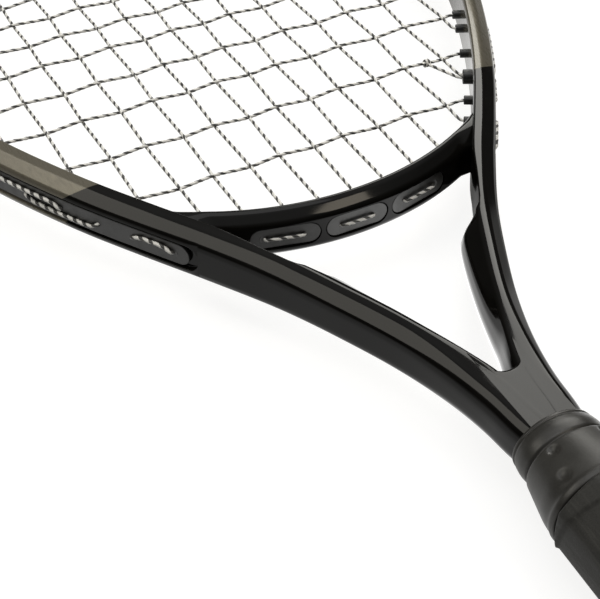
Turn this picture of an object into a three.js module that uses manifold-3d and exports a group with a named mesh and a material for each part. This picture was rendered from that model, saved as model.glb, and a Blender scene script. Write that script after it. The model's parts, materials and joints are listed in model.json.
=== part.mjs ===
// Crossminton racket: moulded frame, throat bridge, woven string bed, grommet strips and a wrapped grip.
// Millimetres. The origin is the centre of the butt end, +Y runs to the head, +Z is square to the strings.
import * as THREE from 'three'
import { mergeVertices } from 'three/addons/utils/BufferGeometryUtils.js'
import Module from 'manifold-3d'

const wasm = await Module()
wasm.setup()
const { lerp, smoothstep } = THREE.MathUtils

// Clearance between pieces that touch, and the overrun of every cut
const seatGap = 0.3
const cutOver = 6

// Frame outline, measured along +Y from the butt end
const racketLength = 590
const headHalfWidth = 114
const headCentreY = 456
const armStartY = 186
// Each point: share of the head's half width, share of the rise from the arms' start to the widest place
const outlineShares = [
  [0.0842, 0], [0.0947, 0.0296], [0.1035, 0.067], [0.128, 0.122], [0.1667, 0.178], [0.2386, 0.252],
  [0.321, 0.326], [0.421, 0.4], [0.53, 0.474], [0.635, 0.548], [0.727, 0.622], [0.809, 0.696], [0.882, 0.77],
  [0.94, 0.844], [0.982, 0.919]]
const headQuarterSteps = 7
const outlineDivisions = 1200
const searchSteps = 40

// Frame tube: thickness in the string plane and half depth square to it
const hoopThickness = 7.5
const armThickness = 12.2
const armEndThickness = 10.4
const neckThickness = 12
const hoopHalfDepth = 9.5
const armHalfDepth = 8.7
const neckHalfDepth = 7.6
const crotchLowY = 207
const crotchHighY = 222
const kinkLowY = 257.5
const kinkHighY = 270
// The tube is this much thinner just past the kink, and full again at the waist's end
const waistDip = 1.2
const waistEndY = 295
const neckBlendY = 236
const ringStep = 15
const kinkRingStep = 5
// Section points from the outer middle to the inner wall: share of the thickness, share of the half depth
const hoopSectionShares = [
  [0, 0.2], [0, 0.45], [0.06, 0.6], [0.55, 1], [0.89, 0.95], [1, 0.78], [1, 0.25]]
const armSectionShares = [
  [0, 0.2], [0, 0.42], [0.1, 0.66], [0.43, 1], [0.75, 0.87], [0.93, 0.66], [1, 0.3]]
const neckSectionShares = [
  [0, 0.18], [0.02, 0.34], [0.16, 0.62], [0.45, 0.96], [0.65, 1], [0.85, 0.85], [1, 0.3]]

// String groove on the outer face of the tube, from its rounded end on one arm to that on the other
const grooveDepth = 1.5
const grooveHalfHeight = 4.4
const grooveFloorHalfHeight = 4
const grooveEndY = 297.5
const grooveEndStep = 0.15
const grooveEndShares = [0.28, 0.6, 1]

// Shaft core that both arms run into, and that carries on inside the handle
const coreHalfWidth = 9.6
const coreHalfDepth = 7.2
const coreStartY = 9
const coreFlareLowY = 168
const coreFlareHighY = 184
const coreNeckHalfWidth = 10
const coreNeckHalfDepth = 7.7
const coreNoseY = 205
const coreNoseLength = 10
const coreSides = 12
const coreNoseSteps = 4

// Throat bridge: a curved band between the arms
const bridgeInnerY = 299.3
const bridgeInnerRadius = 88
const bridgeThickness = 6.2
const bridgeEndThickness = 5
const bridgeHalfDepth = 8.4
// The band's outer edge is level beyond this place, which fills the corners between the bridge and the arms
const bridgeWebX = 42
const bridgeReach = 64
const bridgeStep = 6.4
const bridgeSectionShares = [[0, 0.52], [0.1, 0.66], [0.55, 0.95], [0.82, 1], [1, 0.82]]
const pocketHalfHeight = 3.9
const pocketEndReach = 5
const pocketDepth = 1.6
const pocketCurveSteps = 4
const pocketCount = 3

// Strings
const stringRadius = 0.55
const stringSides = 5
const weaveHeight = 0.72
const firstCrossY = 334
// Mains: share of the head's half width. Crosses: share of the way from the first cross to the head's top
const mainShares = [0.0482, 0.1465, 0.249, 0.356, 0.468, 0.583, 0.702, 0.825]
const crossShares = [
  0, 0.098, 0.1887, 0.2621, 0.3371, 0.3973, 0.4555, 0.5109, 0.5684, 0.6289, 0.6953, 0.7578, 0.8164, 0.875]
const bridgeMains = 3
const laneOffset = 1.55
const laneRun = 3.4
const bendRadius = 0.95
const bendShares = [0.4, 1]
const bendLaneShare = 0.3
const loopStep = 9
const cornerExitDrop = 15
// Stretches nearer than this many radii along one string are neighbours, and their gap isn't measured
const neighbourRadii = 8

// Grommet strips: a plate in the groove with a barrel through the tube at each hole
const plateThickness = 0.8
const plateHalfWidth = 3.55
const plateEndGap = 3.4
const plateStep = 15
const barrelRadius = 1.5
const barrelProud = 2.7
const boreRadius = 1.05
const tieBarrelRadius = 2.45
const tieBoreRadius = 1.95
const tieOffset = 0.8
const barrelSides = 6
const boreSides = 5
const guardRailHeight = 2.4
const guardRailWidth = 1
const stripSplitGap = 0.6
const stripSplitCross = 9
const plateEndShares = [0.04, 0.3, 0.62]

// Tie-off knots
const knotRadius = 1.45
const knotLength = 2.8
const knotSides = 6
const knotPlaceShare = 0.4

// Handle: two pallet shells round the core, a wrapped grip, a rubber collar and a butt cap
const palletHalfWidth = 14
const palletHalfDepth = 12.2
const palletStartY = 5
const palletEndY = 162.5
const palletCornerShare = 0.62
const gripCornerShare = 0.5
const gripThickness = 2
const gripStartY = 16
const gripEndY = 162.8
const gripPitch = 24
const gripStepHeight = 0.6
const gripColumns = 18
const gripRowShares = [0, 0.07, 0.5]
const gripLeadTurns = 1.5
const gripTailTurns = 1
const collarSides = 20
const collarStartY = 163.1
const collarEndY = 189
const collarHalfWidth = 16.6
const collarHalfDepth = 14
const collarBoreHalfWidth = 10.8
const collarBoreHalfDepth = 8.5
// Share of the collar's length, of its half width and of its half depth, from the grip end to the rim
const collarShares = [
  [0, 0.97, 0.97], [0.07, 1, 1], [0.23, 0.957, 0.945], [0.67, 0.79, 0.78], [0.7, 0.745, 0.72],
  [0.77, 0.735, 0.705], [0.83, 0.76, 0.73], [0.93, 0.74, 0.7], [1, 0.7, 0.65]]
const palletSides = 16
const capLength = 15
const capHalfWidth = 18.2
const capHalfDepth = 16.2
const capWall = 2
const capDepthShare = 0.8
const capRimRadius = 1
const capRingShares = [0, 0.067, 0.267, 0.6, 1]
const doorHalfWidth = 8.5
const doorHalfDepth = 6.5
const doorThickness = 2.4

const up = new THREE.Vector3(0, 0, 1)

// Joins rings of points into one closed skin with flat ends
function loft(rings) {
  const count = rings[0].length
  const points = rings.flat()
  const faces = []
  for (let r = 0; r < rings.length - 1; r++) {
    for (let k = 0; k < count; k++) {
      const a = r * count + k
      const b = r * count + (k + 1) % count
      faces.push(a, b, a + count, b, b + count, a + count)
    }
  }
  const last = (rings.length - 1) * count
  for (const [i, j, k] of capTriangles(rings[0])) faces.push(i, k, j)
  for (const [i, j, k] of capTriangles(rings.at(-1))) faces.push(last + i, last + j, last + k)
  return skin(points, faces)
}

// Triangles of a flat ring, wound the way its points run
function capTriangles(ring) {
  const middle = ring.reduce((sum, p) => sum.add(p), new THREE.Vector3()).divideScalar(ring.length)
  const across = ring[0].clone().sub(middle).normalize()
  const normal = new THREE.Vector3()
  ring.forEach((p, k) => {
    const next = ring[(k + 1) % ring.length]
    normal.add(p.clone().sub(middle).cross(next.clone().sub(middle)))
  })
  normal.normalize()
  const rise = normal.clone().cross(across)
  const flat = ring.map(p => {
    const d = p.clone().sub(middle)
    return new THREE.Vector2(d.dot(across), d.dot(rise))
  })
  return THREE.ShapeUtils.triangulateShape(flat, [])
}

// A geometry from points and triangles, turned so that its faces point out
function skin(points, faces) {
  let volume = 0
  for (let k = 0; k < faces.length; k += 3) {
    const [a, b, c] = [points[faces[k]], points[faces[k + 1]], points[faces[k + 2]]]
    volume += a.dot(b.clone().cross(c))
  }
  if (volume < 0) {
    for (let k = 0; k < faces.length; k += 3) [faces[k + 1], faces[k + 2]] = [faces[k + 2], faces[k + 1]]
  }
  const geometry = new THREE.BufferGeometry().setFromPoints(points)
  geometry.setIndex(faces)
  return geometry
}

// A closed geometry as a solid for joining and cutting, and back
function toSolid(geometry) {
  const bare = geometry.clone()
  for (const name of Object.keys(bare.attributes)) if (name !== 'position') bare.deleteAttribute(name)
  const merged = mergeVertices(bare)
  const vertProperties = new Float32Array(merged.attributes.position.array)
  const triVerts = new Uint32Array(merged.index.array)
  return new wasm.Manifold(new wasm.Mesh({ numProp: 3, vertProperties, triVerts }))
}

function toGeometry(solid) {
  const mesh = solid.getMesh()
  const geometry = new THREE.BufferGeometry()
  geometry.setAttribute('position', new THREE.BufferAttribute(new Float32Array(mesh.vertProperties), 3))
  geometry.setIndex(new THREE.BufferAttribute(new Uint32Array(mesh.triVerts), 1))
  return geometry
}

const joined = solids => solids.reduce((sum, solid) => sum.add(solid))

// A straight round bar from one point to another
function bar(from, to, radius, sides) {
  const axis = to.clone().sub(from)
  const geometry = new THREE.CylinderGeometry(radius, radius, axis.length(), sides)
  const turn = new THREE.Quaternion().setFromUnitVectors(new THREE.Vector3(0, 1, 0), axis.clone().normalize())
  geometry.applyQuaternion(turn)
  const middle = from.clone().lerp(to, 0.5)
  return toSolid(geometry.translate(middle.x, middle.y, middle.z))
}

// The outer edge of the frame, from the right arm's foot over the head to the left arm's foot
function outlineCurve() {
  const rise = headCentreY - armStartY
  const right = outlineShares.map(([x, y]) => [headHalfWidth * x, armStartY + rise * y])
  for (let k = 0; k < headQuarterSteps; k++) {
    const angle = Math.PI / 2 * k / headQuarterSteps
    const y = headCentreY + (racketLength - headCentreY) * Math.sin(angle)
    right.push([headHalfWidth * Math.cos(angle), y])
  }
  const left = right.map(([x, y]) => [-x, y]).reverse()
  const points = [...right, [0, racketLength], ...left].map(([x, y]) => new THREE.Vector3(x, y, 0))
  const curve = new THREE.CatmullRomCurve3(points, false, 'centripetal')
  curve.arcLengthDivisions = outlineDivisions
  return curve
}

const outline = outlineCurve()
const outlineLength = outline.getLength()

// A place on the outline by its distance along it: point, direction, outward side and the tube's sizes
function station(distance) {
  const share = THREE.MathUtils.clamp(distance / outlineLength, 0, 1)
  const point = outline.getPointAt(share)
  const along = outline.getTangentAt(share)
  const out = new THREE.Vector3(along.y, -along.x, 0).normalize()
  return { distance, point, along, out, ...tubeSizes(point.y) }
}

function tubeSizes(y) {
  const crotch = smoothstep(y, crotchLowY, crotchHighY)
  const swell = smoothstep(y, crotchHighY, kinkLowY)
  const hoop = smoothstep(y, kinkLowY, kinkHighY)
  const neck = 1 - smoothstep(y, crotchLowY, neckBlendY)
  const arm = lerp(lerp(neckThickness, armEndThickness, crotch), armThickness, swell)
  const tube = hoopThickness - waistDip * (1 - smoothstep(y, kinkHighY, waistEndY))
  return {
    thickness: lerp(arm, tube, hoop),
    halfDepth: lerp(lerp(armHalfDepth, hoopHalfDepth, hoop), neckHalfDepth, neck),
    hoop,
    neck
  }
}

// A point beside the outline: positive out of the racket, and up
const beside = (place, outward, height) =>
  place.point.clone().addScaledVector(place.out, outward).addScaledVector(up, height)

// The distance along the outline where a measure of the station crosses zero
function findDistance(measure, low, high) {
  let [a, b] = [low, high]
  const rising = measure(station(b)) > measure(station(a))
  for (let k = 0; k < searchSteps; k++) {
    const middle = (a + b) / 2
    if ((measure(station(middle)) > 0) === rising) b = middle
    else a = middle
  }
  return (a + b) / 2
}

const topDistance = outlineLength / 2
const widestDistance = findDistance(place => place.point.y - headCentreY, 0, topDistance)
const grooveStart = findDistance(place => place.point.y - grooveEndY, 0, widestDistance)

// One section ring of the tube; grow swells it for clearance cuts, which have no groove
function tubeRing(distance, grow = 0) {
  const place = station(distance)
  const inGroove = Math.min(distance, outlineLength - distance) - grooveStart
  const half = hoopSectionShares.map(([across, height], k) => {
    const [armAcross, armHeight] = armSectionShares[k]
    const [neckAcross, neckHeight] = neckSectionShares[k]
    const outerAcross = lerp(lerp(armAcross, across, place.hoop), neckAcross, place.neck)
    const outerHeight = lerp(lerp(armHeight, height, place.hoop), neckHeight, place.neck)
    return [grow - outerAcross * (place.thickness + 2 * grow), outerHeight * (place.halfDepth + grow)]
  })
  if (inGroove > 0 && grow === 0) {
    const run = Math.min(inGroove, grooveHalfHeight)
    const lip = Math.sqrt(grooveHalfHeight ** 2 - (grooveHalfHeight - run) ** 2)
    half[0] = [-grooveDepth, lip * grooveFloorHalfHeight / grooveHalfHeight]
    half[1] = [0, lip]
  }
  const upper = half.map(([outward, height]) => beside(place, outward, height))
  const lower = half.map(([outward, height]) => beside(place, outward, -height)).reverse()
  return [...upper, ...lower]
}

// Distances of the rings up to the head's top: closer where the arm narrows and at the groove's end
function ringDistances() {
  const ends = [-grooveEndStep, grooveEndStep, ...grooveEndShares.map(share => share * grooveHalfHeight)]
  const marks = ends.map(offset => grooveStart + offset)
  const kinkStart = findDistance(place => place.point.y - kinkLowY, 0, widestDistance)
  const kinkEnd = findDistance(place => place.point.y - kinkHighY, 0, widestDistance)
  let distance = 0
  const list = []
  while (distance < topDistance - ringStep / 2) {
    list.push(distance)
    distance += distance > kinkStart - ringStep && distance < kinkEnd ? kinkRingStep : ringStep
  }
  const kept = list.filter(d => marks.every(mark => Math.abs(mark - d) > kinkRingStep / 2))
  return [...kept, ...marks, topDistance].sort((a, b) => a - b)
}

function wholeLoop(distances) {
  const back = distances.slice(0, -1).reverse().map(distance => outlineLength - distance)
  return [...distances, ...back]
}

const frameDistances = wholeLoop(ringDistances())
const tubeSolid = toSolid(loft(frameDistances.map(distance => tubeRing(distance))))
const tubeClearance = toSolid(loft(frameDistances.map(distance => tubeRing(distance, seatGap))))

// An upright ring of the handle's family: a flattened octagon with softened corners, or an oval
function ovalRing(y, halfWidth, halfDepth, sides, corner = 0) {
  return Array.from({ length: sides }, (_, k) => {
    const angle = 2 * Math.PI * (k + 0.5) / sides
    const reach = 1 + corner * octagonExcess(angle)
    return new THREE.Vector3(halfWidth * reach * Math.cos(angle), y, halfDepth * reach * Math.sin(angle))
  })
}

// How far an octagon's edge lies beyond its own flats, by angle
function octagonExcess(angle) {
  const eighth = Math.PI / 4
  const offset = ((angle % eighth) + eighth) % eighth
  const fromFlat = Math.min(offset, eighth - offset)
  return 1 / Math.cos(fromFlat) - 1
}

function coreSolid() {
  const rings = [
    ovalRing(coreStartY, coreHalfWidth, coreHalfDepth, coreSides),
    ovalRing(coreFlareLowY, coreHalfWidth, coreHalfDepth, coreSides),
    ovalRing(coreFlareHighY, coreNeckHalfWidth, coreNeckHalfDepth, coreSides)]
  for (let k = 0; k < coreNoseSteps; k++) {
    const angle = Math.PI / 2 * k / coreNoseSteps
    const y = coreNoseY + coreNoseLength * Math.sin(angle)
    const share = Math.cos(angle)
    rings.push(ovalRing(y, coreNeckHalfWidth * share, coreNeckHalfDepth * share, coreSides))
  }
  return toSolid(loft(rings))
}

// The bridge's inner edge is an arc; its band is thickest in the middle
function bridgeEdges(x) {
  const arcAt = place => bridgeInnerY + bridgeInnerRadius - Math.sqrt(bridgeInnerRadius ** 2 - place ** 2)
  const level = Math.min(Math.abs(x), bridgeWebX)
  const slope = level / Math.sqrt(bridgeInnerRadius ** 2 - level ** 2)
  const thickness = lerp(bridgeThickness, bridgeEndThickness, (level / bridgeReach) ** 2)
  return { inner: arcAt(x), outer: arcAt(level) - thickness * Math.sqrt(1 + slope ** 2) }
}

function bridgeRing(x) {
  const { inner, outer } = bridgeEdges(x)
  const upper = bridgeSectionShares.map(([across, height]) =>
    new THREE.Vector3(x, lerp(outer, inner, across), height * bridgeHalfDepth))
  const lower = upper.map(p => p.clone().setZ(-p.z)).reverse()
  return [...upper, ...lower]
}

// Holes along the tube. Each has the tip of its barrel inside the head and its mouth in the groove
const plateOuter = seatGap + plateThickness - grooveDepth
const stringOuter = plateOuter + seatGap + stringRadius
const tipBend = stringRadius + seatGap
const tipOf = place => beside(place, -(place.thickness + barrelProud), 0)
const bendOf = place => beside(place, -(place.thickness + barrelProud + tipBend), 0)

function tubeHole(distance) {
  const place = station(distance)
  return { distance, tip: tipOf(place), axis: place.out.clone() }
}

const mainX = mainShares.map(share => share * headHalfWidth)
const crossY = crossShares.map(share => lerp(firstCrossY, racketLength, share))

// Holes of every main that ends in the tube, and of every cross, right side first
const holes = {}
const lowestSide = findDistance(place => tipOf(place).y - bridgeInnerY, 0, widestDistance)
mainX.forEach((x, k) => {
  const top = findDistance(place => bendOf(place).x - x, widestDistance, topDistance)
  holes[`top_${k}`] = tubeHole(top)
  if (k <= bridgeMains) return
  const foot = findDistance(place => bendOf(place).x - x, lowestSide, widestDistance)
  holes[`foot_${k}`] = tubeHole(foot)
})
crossY.forEach((y, k) => {
  holes[`cross_${k}`] = tubeHole(findDistance(place => bendOf(place).y - y, lowestSide, topDistance))
})

// The main beside the bridge's pockets leaves through the arm's outer face, below the next main's hole
function cornerHole() {
  const mouth = station(holes[`foot_${bridgeMains + 1}`].distance - cornerExitDrop)
  const x = mainX[bridgeMains]
  const tip = new THREE.Vector3(x, bridgeEdges(x).inner + barrelProud, 0)
  const axis = beside(mouth, plateOuter, 0).sub(tip).normalize()
  return { distance: mouth.distance, tip, axis }
}
holes[`foot_${bridgeMains}`] = cornerHole()

// Four holes are wide enough for a second string: the tie-offs come back in through them
const tieHoles = {
  crossLow: `foot_${bridgeMains + 2}`,
  crossHigh: `top_${bridgeMains}`,
  mainRight: 'cross_5',
  mainLeft: 'cross_4'
}
for (const key of [tieHoles.crossLow, tieHoles.crossHigh, tieHoles.mainRight]) holes[key].tieRight = true
holes[tieHoles.mainLeft].tieLeft = true

// The same hole on either side of the racket
function holeOn(key, side) {
  const hole = holes[key]
  const flip = v => new THREE.Vector3(side * v.x, v.y, v.z)
  return {
    distance: side > 0 ? hole.distance : outlineLength - hole.distance,
    tip: flip(hole.tip),
    axis: flip(hole.axis),
    tie: Boolean(side > 0 ? hole.tieRight : hole.tieLeft)
  }
}

const allHoles = Object.keys(holes).flatMap(key => [1, -1].map(side => ({ key, side, ...holeOn(key, side) })))
const mouthOf = hole => hole.tip.clone().addScaledVector(hole.axis,
  beside(station(hole.distance), plateOuter, 0).sub(hole.tip).dot(hole.axis))

// A bar along a hole's axis, past its tip by one length and past its mouth by another
function holeBar(hole, radius, pastTip, pastMouth, sides) {
  const from = hole.tip.clone().addScaledVector(hole.axis, -pastTip)
  const to = mouthOf(hole).addScaledVector(hole.axis, pastMouth)
  return bar(from, to, radius, sides)
}
const outerRadius = hole => hole.tie ? tieBarrelRadius : barrelRadius
const innerRadius = hole => hole.tie ? tieBoreRadius : boreRadius

function frameSolid() {
  const cuts = allHoles.map(hole => holeBar(hole, outerRadius(hole) + seatGap, 0, cutOver, barrelSides))
  return tubeSolid.add(coreSolid()).subtract(joined(cuts))
}

// Bridge holes go straight towards the handle; each pair shares a pocket in the outer face
const bridgeX = [...mainX.slice(0, bridgeMains).map(x => -x).reverse(), ...mainX.slice(0, bridgeMains)]
const pocketPairs = Array.from({ length: pocketCount }, (_, k) => [bridgeX[2 * k], bridgeX[2 * k + 1]])

// The straight line between a pair's two holes on the bridge's outer edge
function pocketChord([left, right]) {
  const from = new THREE.Vector3(left, bridgeEdges(left).outer, 0)
  const to = new THREE.Vector3(right, bridgeEdges(right).outer, 0)
  const along = to.clone().sub(from).normalize()
  return { from, to, along, inward: up.clone().cross(along) }
}

// A stadium-shaped block whose flat face lies at a depth below the pair's line
function pocketBlock(pair, halfHeight, endReach, inset, depth) {
  const { from, to, along } = pocketChord(pair)
  const middle = from.clone().lerp(to, 0.5)
  const half = from.distanceTo(to) / 2 + endReach
  const shape = new THREE.Shape()
  shape.absarc(half - halfHeight, 0, halfHeight, -Math.PI / 2, Math.PI / 2)
  shape.absarc(halfHeight - half, 0, halfHeight, Math.PI / 2, Math.PI * 3 / 2)
  const options = { depth, bevelEnabled: false, curveSegments: pocketCurveSteps }
  const geometry = new THREE.ExtrudeGeometry(shape, options)
  geometry.rotateX(Math.PI / 2)
  geometry.translate(0, inset, 0)
  geometry.rotateZ(Math.atan2(along.y, along.x))
  geometry.translate(middle.x, middle.y, 0)
  return toSolid(geometry)
}

function bridgeHoleBar(x, radius, pastInner, pastOuter, sides) {
  const { inner, outer } = bridgeEdges(x)
  const from = new THREE.Vector3(x, inner + pastInner, 0)
  return bar(from, new THREE.Vector3(x, outer - pastOuter, 0), radius, sides)
}

function bridgeSolid() {
  const steps = Math.ceil(bridgeReach / bridgeStep)
  const rings = Array.from({ length: 2 * steps + 1 }, (_, k) => bridgeRing(bridgeReach * (k - steps) / steps))
  const band = toSolid(loft(rings)).subtract(tubeClearance)
  const pockets = pocketPairs.map(pair =>
    pocketBlock(pair, pocketHalfHeight, pocketEndReach, pocketDepth, cutOver))
  const bores = bridgeX.map(x => bridgeHoleBar(x, barrelRadius + seatGap, cutOver, cutOver, barrelSides))
  const corners = [1, -1].map(side =>
    holeBar(holeOn(`foot_${bridgeMains}`, side), barrelRadius + seatGap, cutOver, cutOver, barrelSides))
  const cut = band.subtract(joined([...pockets, ...bores, ...corners]))
  const parts = cut.decompose().sort((a, b) => b.volume() - a.volume())
  return parts[0]
}

// A grommet insert in each bridge pocket: a plate with two barrels
function throatGrommet(pair) {
  const plateReach = pocketEndReach - seatGap
  const inset = pocketDepth - seatGap
  const plate = pocketBlock(pair, pocketHalfHeight - seatGap, plateReach, inset, plateThickness)
  const barrels = pair.map(x =>
    bridgeHoleBar(x, barrelRadius, barrelProud, plateThickness - pocketDepth, barrelSides))
  const bores = pair.map(x => bridgeHoleBar(x, boreRadius, cutOver, cutOver, boreSides))
  return joined([plate, ...barrels]).subtract(joined(bores))
}

// Section of a strip's plate: flat at the sides, with two rails on the head guard
function plateRing(distance, halfWidth, railHeight) {
  const place = station(distance)
  const low = seatGap - grooveDepth
  const rim = plateOuter + railHeight
  const inner = halfWidth - guardRailWidth
  const section = railHeight > 0
    ? [[low, -halfWidth], [rim, -halfWidth], [rim, -inner], [plateOuter, -inner], [plateOuter, inner],
        [rim, inner], [rim, halfWidth], [low, halfWidth]]
    : [[low, -halfWidth], [plateOuter, -halfWidth], [plateOuter, halfWidth], [low, halfWidth]]
  return section.map(([outward, height]) => beside(place, outward, height))
}

function strip(from, to, roundStart, roundEnd, railHeight) {
  const steps = Math.ceil((to - from) / plateStep)
  const places = Array.from({ length: steps + 1 }, (_, k) => lerp(from, to, k / steps))
  const rounding = plateEndShares.map(share => share * plateHalfWidth)
  if (roundStart) places.splice(0, 1, ...rounding.map(offset => from + offset), from + plateHalfWidth)
  if (roundEnd) places.splice(-1, 1, to - plateHalfWidth, ...rounding.map(offset => to - offset).reverse())
  const ordered = places.sort((a, b) => a - b)
  const rings = ordered.map(distance => {
    const fromStart = roundStart ? distance - from : Infinity
    const fromEnd = roundEnd ? to - distance : Infinity
    const run = Math.min(fromStart, fromEnd, plateHalfWidth)
    const width = Math.sqrt(plateHalfWidth ** 2 - (plateHalfWidth - run) ** 2)
    return plateRing(distance, width, railHeight)
  })
  const inside = allHoles.filter(hole => hole.distance > from && hole.distance < to)
  const barrels = inside.map(hole => holeBar(hole, outerRadius(hole), 0, 0, barrelSides))
  const bores = inside.map(hole => holeBar(hole, innerRadius(hole), cutOver, cutOver, boreSides))
  return joined([toSolid(loft(rings)), ...barrels]).subtract(joined(bores))
}

// The side strips meet the head guard halfway between two neighbouring holes
function splitDistance() {
  const right = allHoles.filter(hole => hole.side > 0).map(hole => hole.distance).sort((a, b) => a - b)
  const last = holes[`cross_${stripSplitCross}`].distance
  return (last + right.find(distance => distance > last)) / 2
}

// A tube along a list of points, with its rings square to the path
function cordTube(points, radius, sides) {
  const directions = points.map((p, k) => {
    const before = points[Math.max(0, k - 1)]
    const after = points[Math.min(points.length - 1, k + 1)]
    return after.clone().sub(before).normalize()
  })
  let across = up.clone().cross(directions[0]).normalize()
  const rings = points.map((p, k) => {
    const direction = directions[k]
    across = across.addScaledVector(direction, -across.dot(direction)).normalize()
    const rise = direction.clone().cross(across)
    return Array.from({ length: sides }, (_, side) => {
      const angle = 2 * Math.PI * side / sides
      const outward = across.clone().multiplyScalar(Math.cos(angle)).addScaledVector(rise, Math.sin(angle))
      return p.clone().addScaledVector(outward, radius)
    })
  })
  return loft(rings)
}

// Least gap between stretches of one cord that are not neighbours along it
function leastGap(points, radius) {
  const samples = []
  let run = 0
  for (let k = 0; k < points.length - 1; k++) {
    const length = points[k].distanceTo(points[k + 1])
    const count = Math.ceil(length / radius)
    for (let m = 0; m < count; m++) {
      samples.push([run + length * m / count, points[k].clone().lerp(points[k + 1], m / count)])
    }
    run += length
  }
  let least = Infinity
  for (let a = 0; a < samples.length; a++) {
    for (let b = a + 1; b < samples.length; b++) {
      if (samples[b][0] - samples[a][0] < neighbourRadii * radius) continue
      least = Math.min(least, samples[a][1].distanceTo(samples[b][1]))
    }
  }
  return least - 2 * radius
}

// The route out of a hole and into the groove's lane, towards another distance along the outline
function outOfHole(hole, lane, towards) {
  const way = Math.sign(towards - hole.distance)
  const offset = hole.tie ? tieOffset * way : 0
  const shift = station(hole.distance).along.clone().multiplyScalar(offset)
  const tip = hole.tip.clone().add(shift).addScaledVector(hole.axis, -tipBend)
  const turn = mouthOf(hole).add(shift)
  const start = hole.distance + offset
  const corner = [
    turn,
    ...bendShares.map(share => {
      const angle = share * Math.PI / 2
      const rise = stringOuter - plateOuter
      const place = station(start + way * bendRadius * (1 - Math.cos(angle)))
      return beside(place, plateOuter + rise * Math.sin(angle), lane * laneOffset * share * bendLaneShare)
    })]
  const run = Math.min(laneRun, Math.abs(towards - start) / 2)
  const inLane = beside(station(start + way * run), stringOuter, lane * laneOffset)
  return { points: [tip, ...corner, inLane], end: start + way * run }
}

// A loop outside the tube from one hole to the next, in its own lane of the groove
function grooveLoop(from, to, lane) {
  const first = outOfHole(from, lane, to.distance)
  const second = outOfHole(to, lane, from.distance)
  const steps = Math.max(1, Math.ceil(Math.abs(second.end - first.end) / loopStep))
  const between = Array.from({ length: steps - 1 }, (_, k) =>
    beside(station(lerp(first.end, second.end, (k + 1) / steps)), stringOuter, lane * laneOffset))
  return [...first.points, ...between, ...second.points.reverse()]
}

// A loop in a bridge pocket, over the grommet's plate
function bridgeLoop(x1, x2) {
  const { from, to, along, inward } = pocketChord([x1, x2])
  const surface = (pocketDepth - seatGap - plateThickness) / Math.abs(inward.y)
  const low = seatGap + stringRadius
  const side = (hole, sign) => {
    const mouth = hole.clone().setY(hole.y + surface)
    const bend = bendShares.map(share => {
      const angle = share * Math.PI / 2
      return mouth.clone().addScaledVector(along, sign * bendRadius * (1 - Math.cos(angle)))
        .addScaledVector(inward, -Math.sign(inward.y) * low * Math.sin(angle))
    })
    return [mouth.clone().setY(bridgeEdges(hole.x).inner + barrelProud), mouth, ...bend]
  }
  return [...side(from, 1), ...side(to, -1).reverse()]
}

// Height of a main where it passes a cross; the cross takes the other side
const weave = (main, cross) => ((main + cross) % 2 === 0 ? weaveHeight : -weaveHeight)
const mainCount = 2 * mainX.length
const mainPlace = k => (k < mainX.length ? -mainX[mainX.length - 1 - k] : mainX[k - mainX.length])
const mainRank = k => (k < mainX.length ? mainX.length - 1 - k : k - mainX.length)
const mainSide = k => (k < mainX.length ? -1 : 1)

// How far up and across the strings reach between their tips
function mainSpan(k) {
  const rank = mainRank(k)
  const foot = rank < bridgeMains ? bridgeEdges(mainX[rank]).inner + barrelProud : holes[`foot_${rank}`].tip.y
  return [foot, holes[`top_${rank}`].tip.y]
}

function mainRun(k) {
  const [foot, top] = mainSpan(k)
  return crossY.map((y, j) => [y, j]).filter(([y]) => y > foot && y < top)
    .map(([y, j]) => new THREE.Vector3(mainPlace(k), y, weave(k, j)))
}

function crossRun(j) {
  const reach = holes[`cross_${j}`].tip.x
  return Array.from({ length: mainCount }, (_, k) => k)
    .filter(k => Math.abs(mainPlace(k)) < reach && crossY[j] > mainSpan(k)[0] && crossY[j] < mainSpan(k)[1])
    .map(k => new THREE.Vector3(mainPlace(k), crossY[j], -weave(k, j)))
}

// A tie-off: out of the last hole, along the groove, back in through the next hole and up to its knot
function tieOff(from, to, lane, knot) {
  const loop = grooveLoop(from, to, lane)
  const inside = loop.at(-1)
  const away = inside.clone().sub(knot.middle)
  away.addScaledVector(knot.direction, -away.dot(knot.direction)).normalize()
  return [...loop, knot.middle.clone().addScaledVector(away, knotRadius + stringRadius)]
}

// A knot's place on a straight stretch of string
function knotOn([a, b]) {
  return { middle: a.clone().lerp(b, knotPlaceShare), direction: b.clone().sub(a).normalize() }
}

function knotSolid({ middle, direction }) {
  const end = (reach, sign) => middle.clone().addScaledVector(direction, sign * reach)
  const body = bar(end(knotLength / 2, -1), end(knotLength / 2, 1), knotRadius, knotSides)
  const bore = bar(end(cutOver, -1), end(cutOver, 1), stringRadius + seatGap, barrelSides)
  return body.subtract(bore)
}

const leftFoot = holeOn(`foot_${mainX.length - 1}`, -1)
const knots = {
  tie_knot_main_left: knotOn([bendOf(station(leftFoot.distance)), mainRun(0)[0]]),
  tie_knot_main_right: knotOn(mainRun(mainCount - 1)),
  tie_knot_cross_low: knotOn(crossRun(1).reverse()),
  tie_knot_cross_high: knotOn(crossRun(crossY.length - 1).reverse())
}

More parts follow.
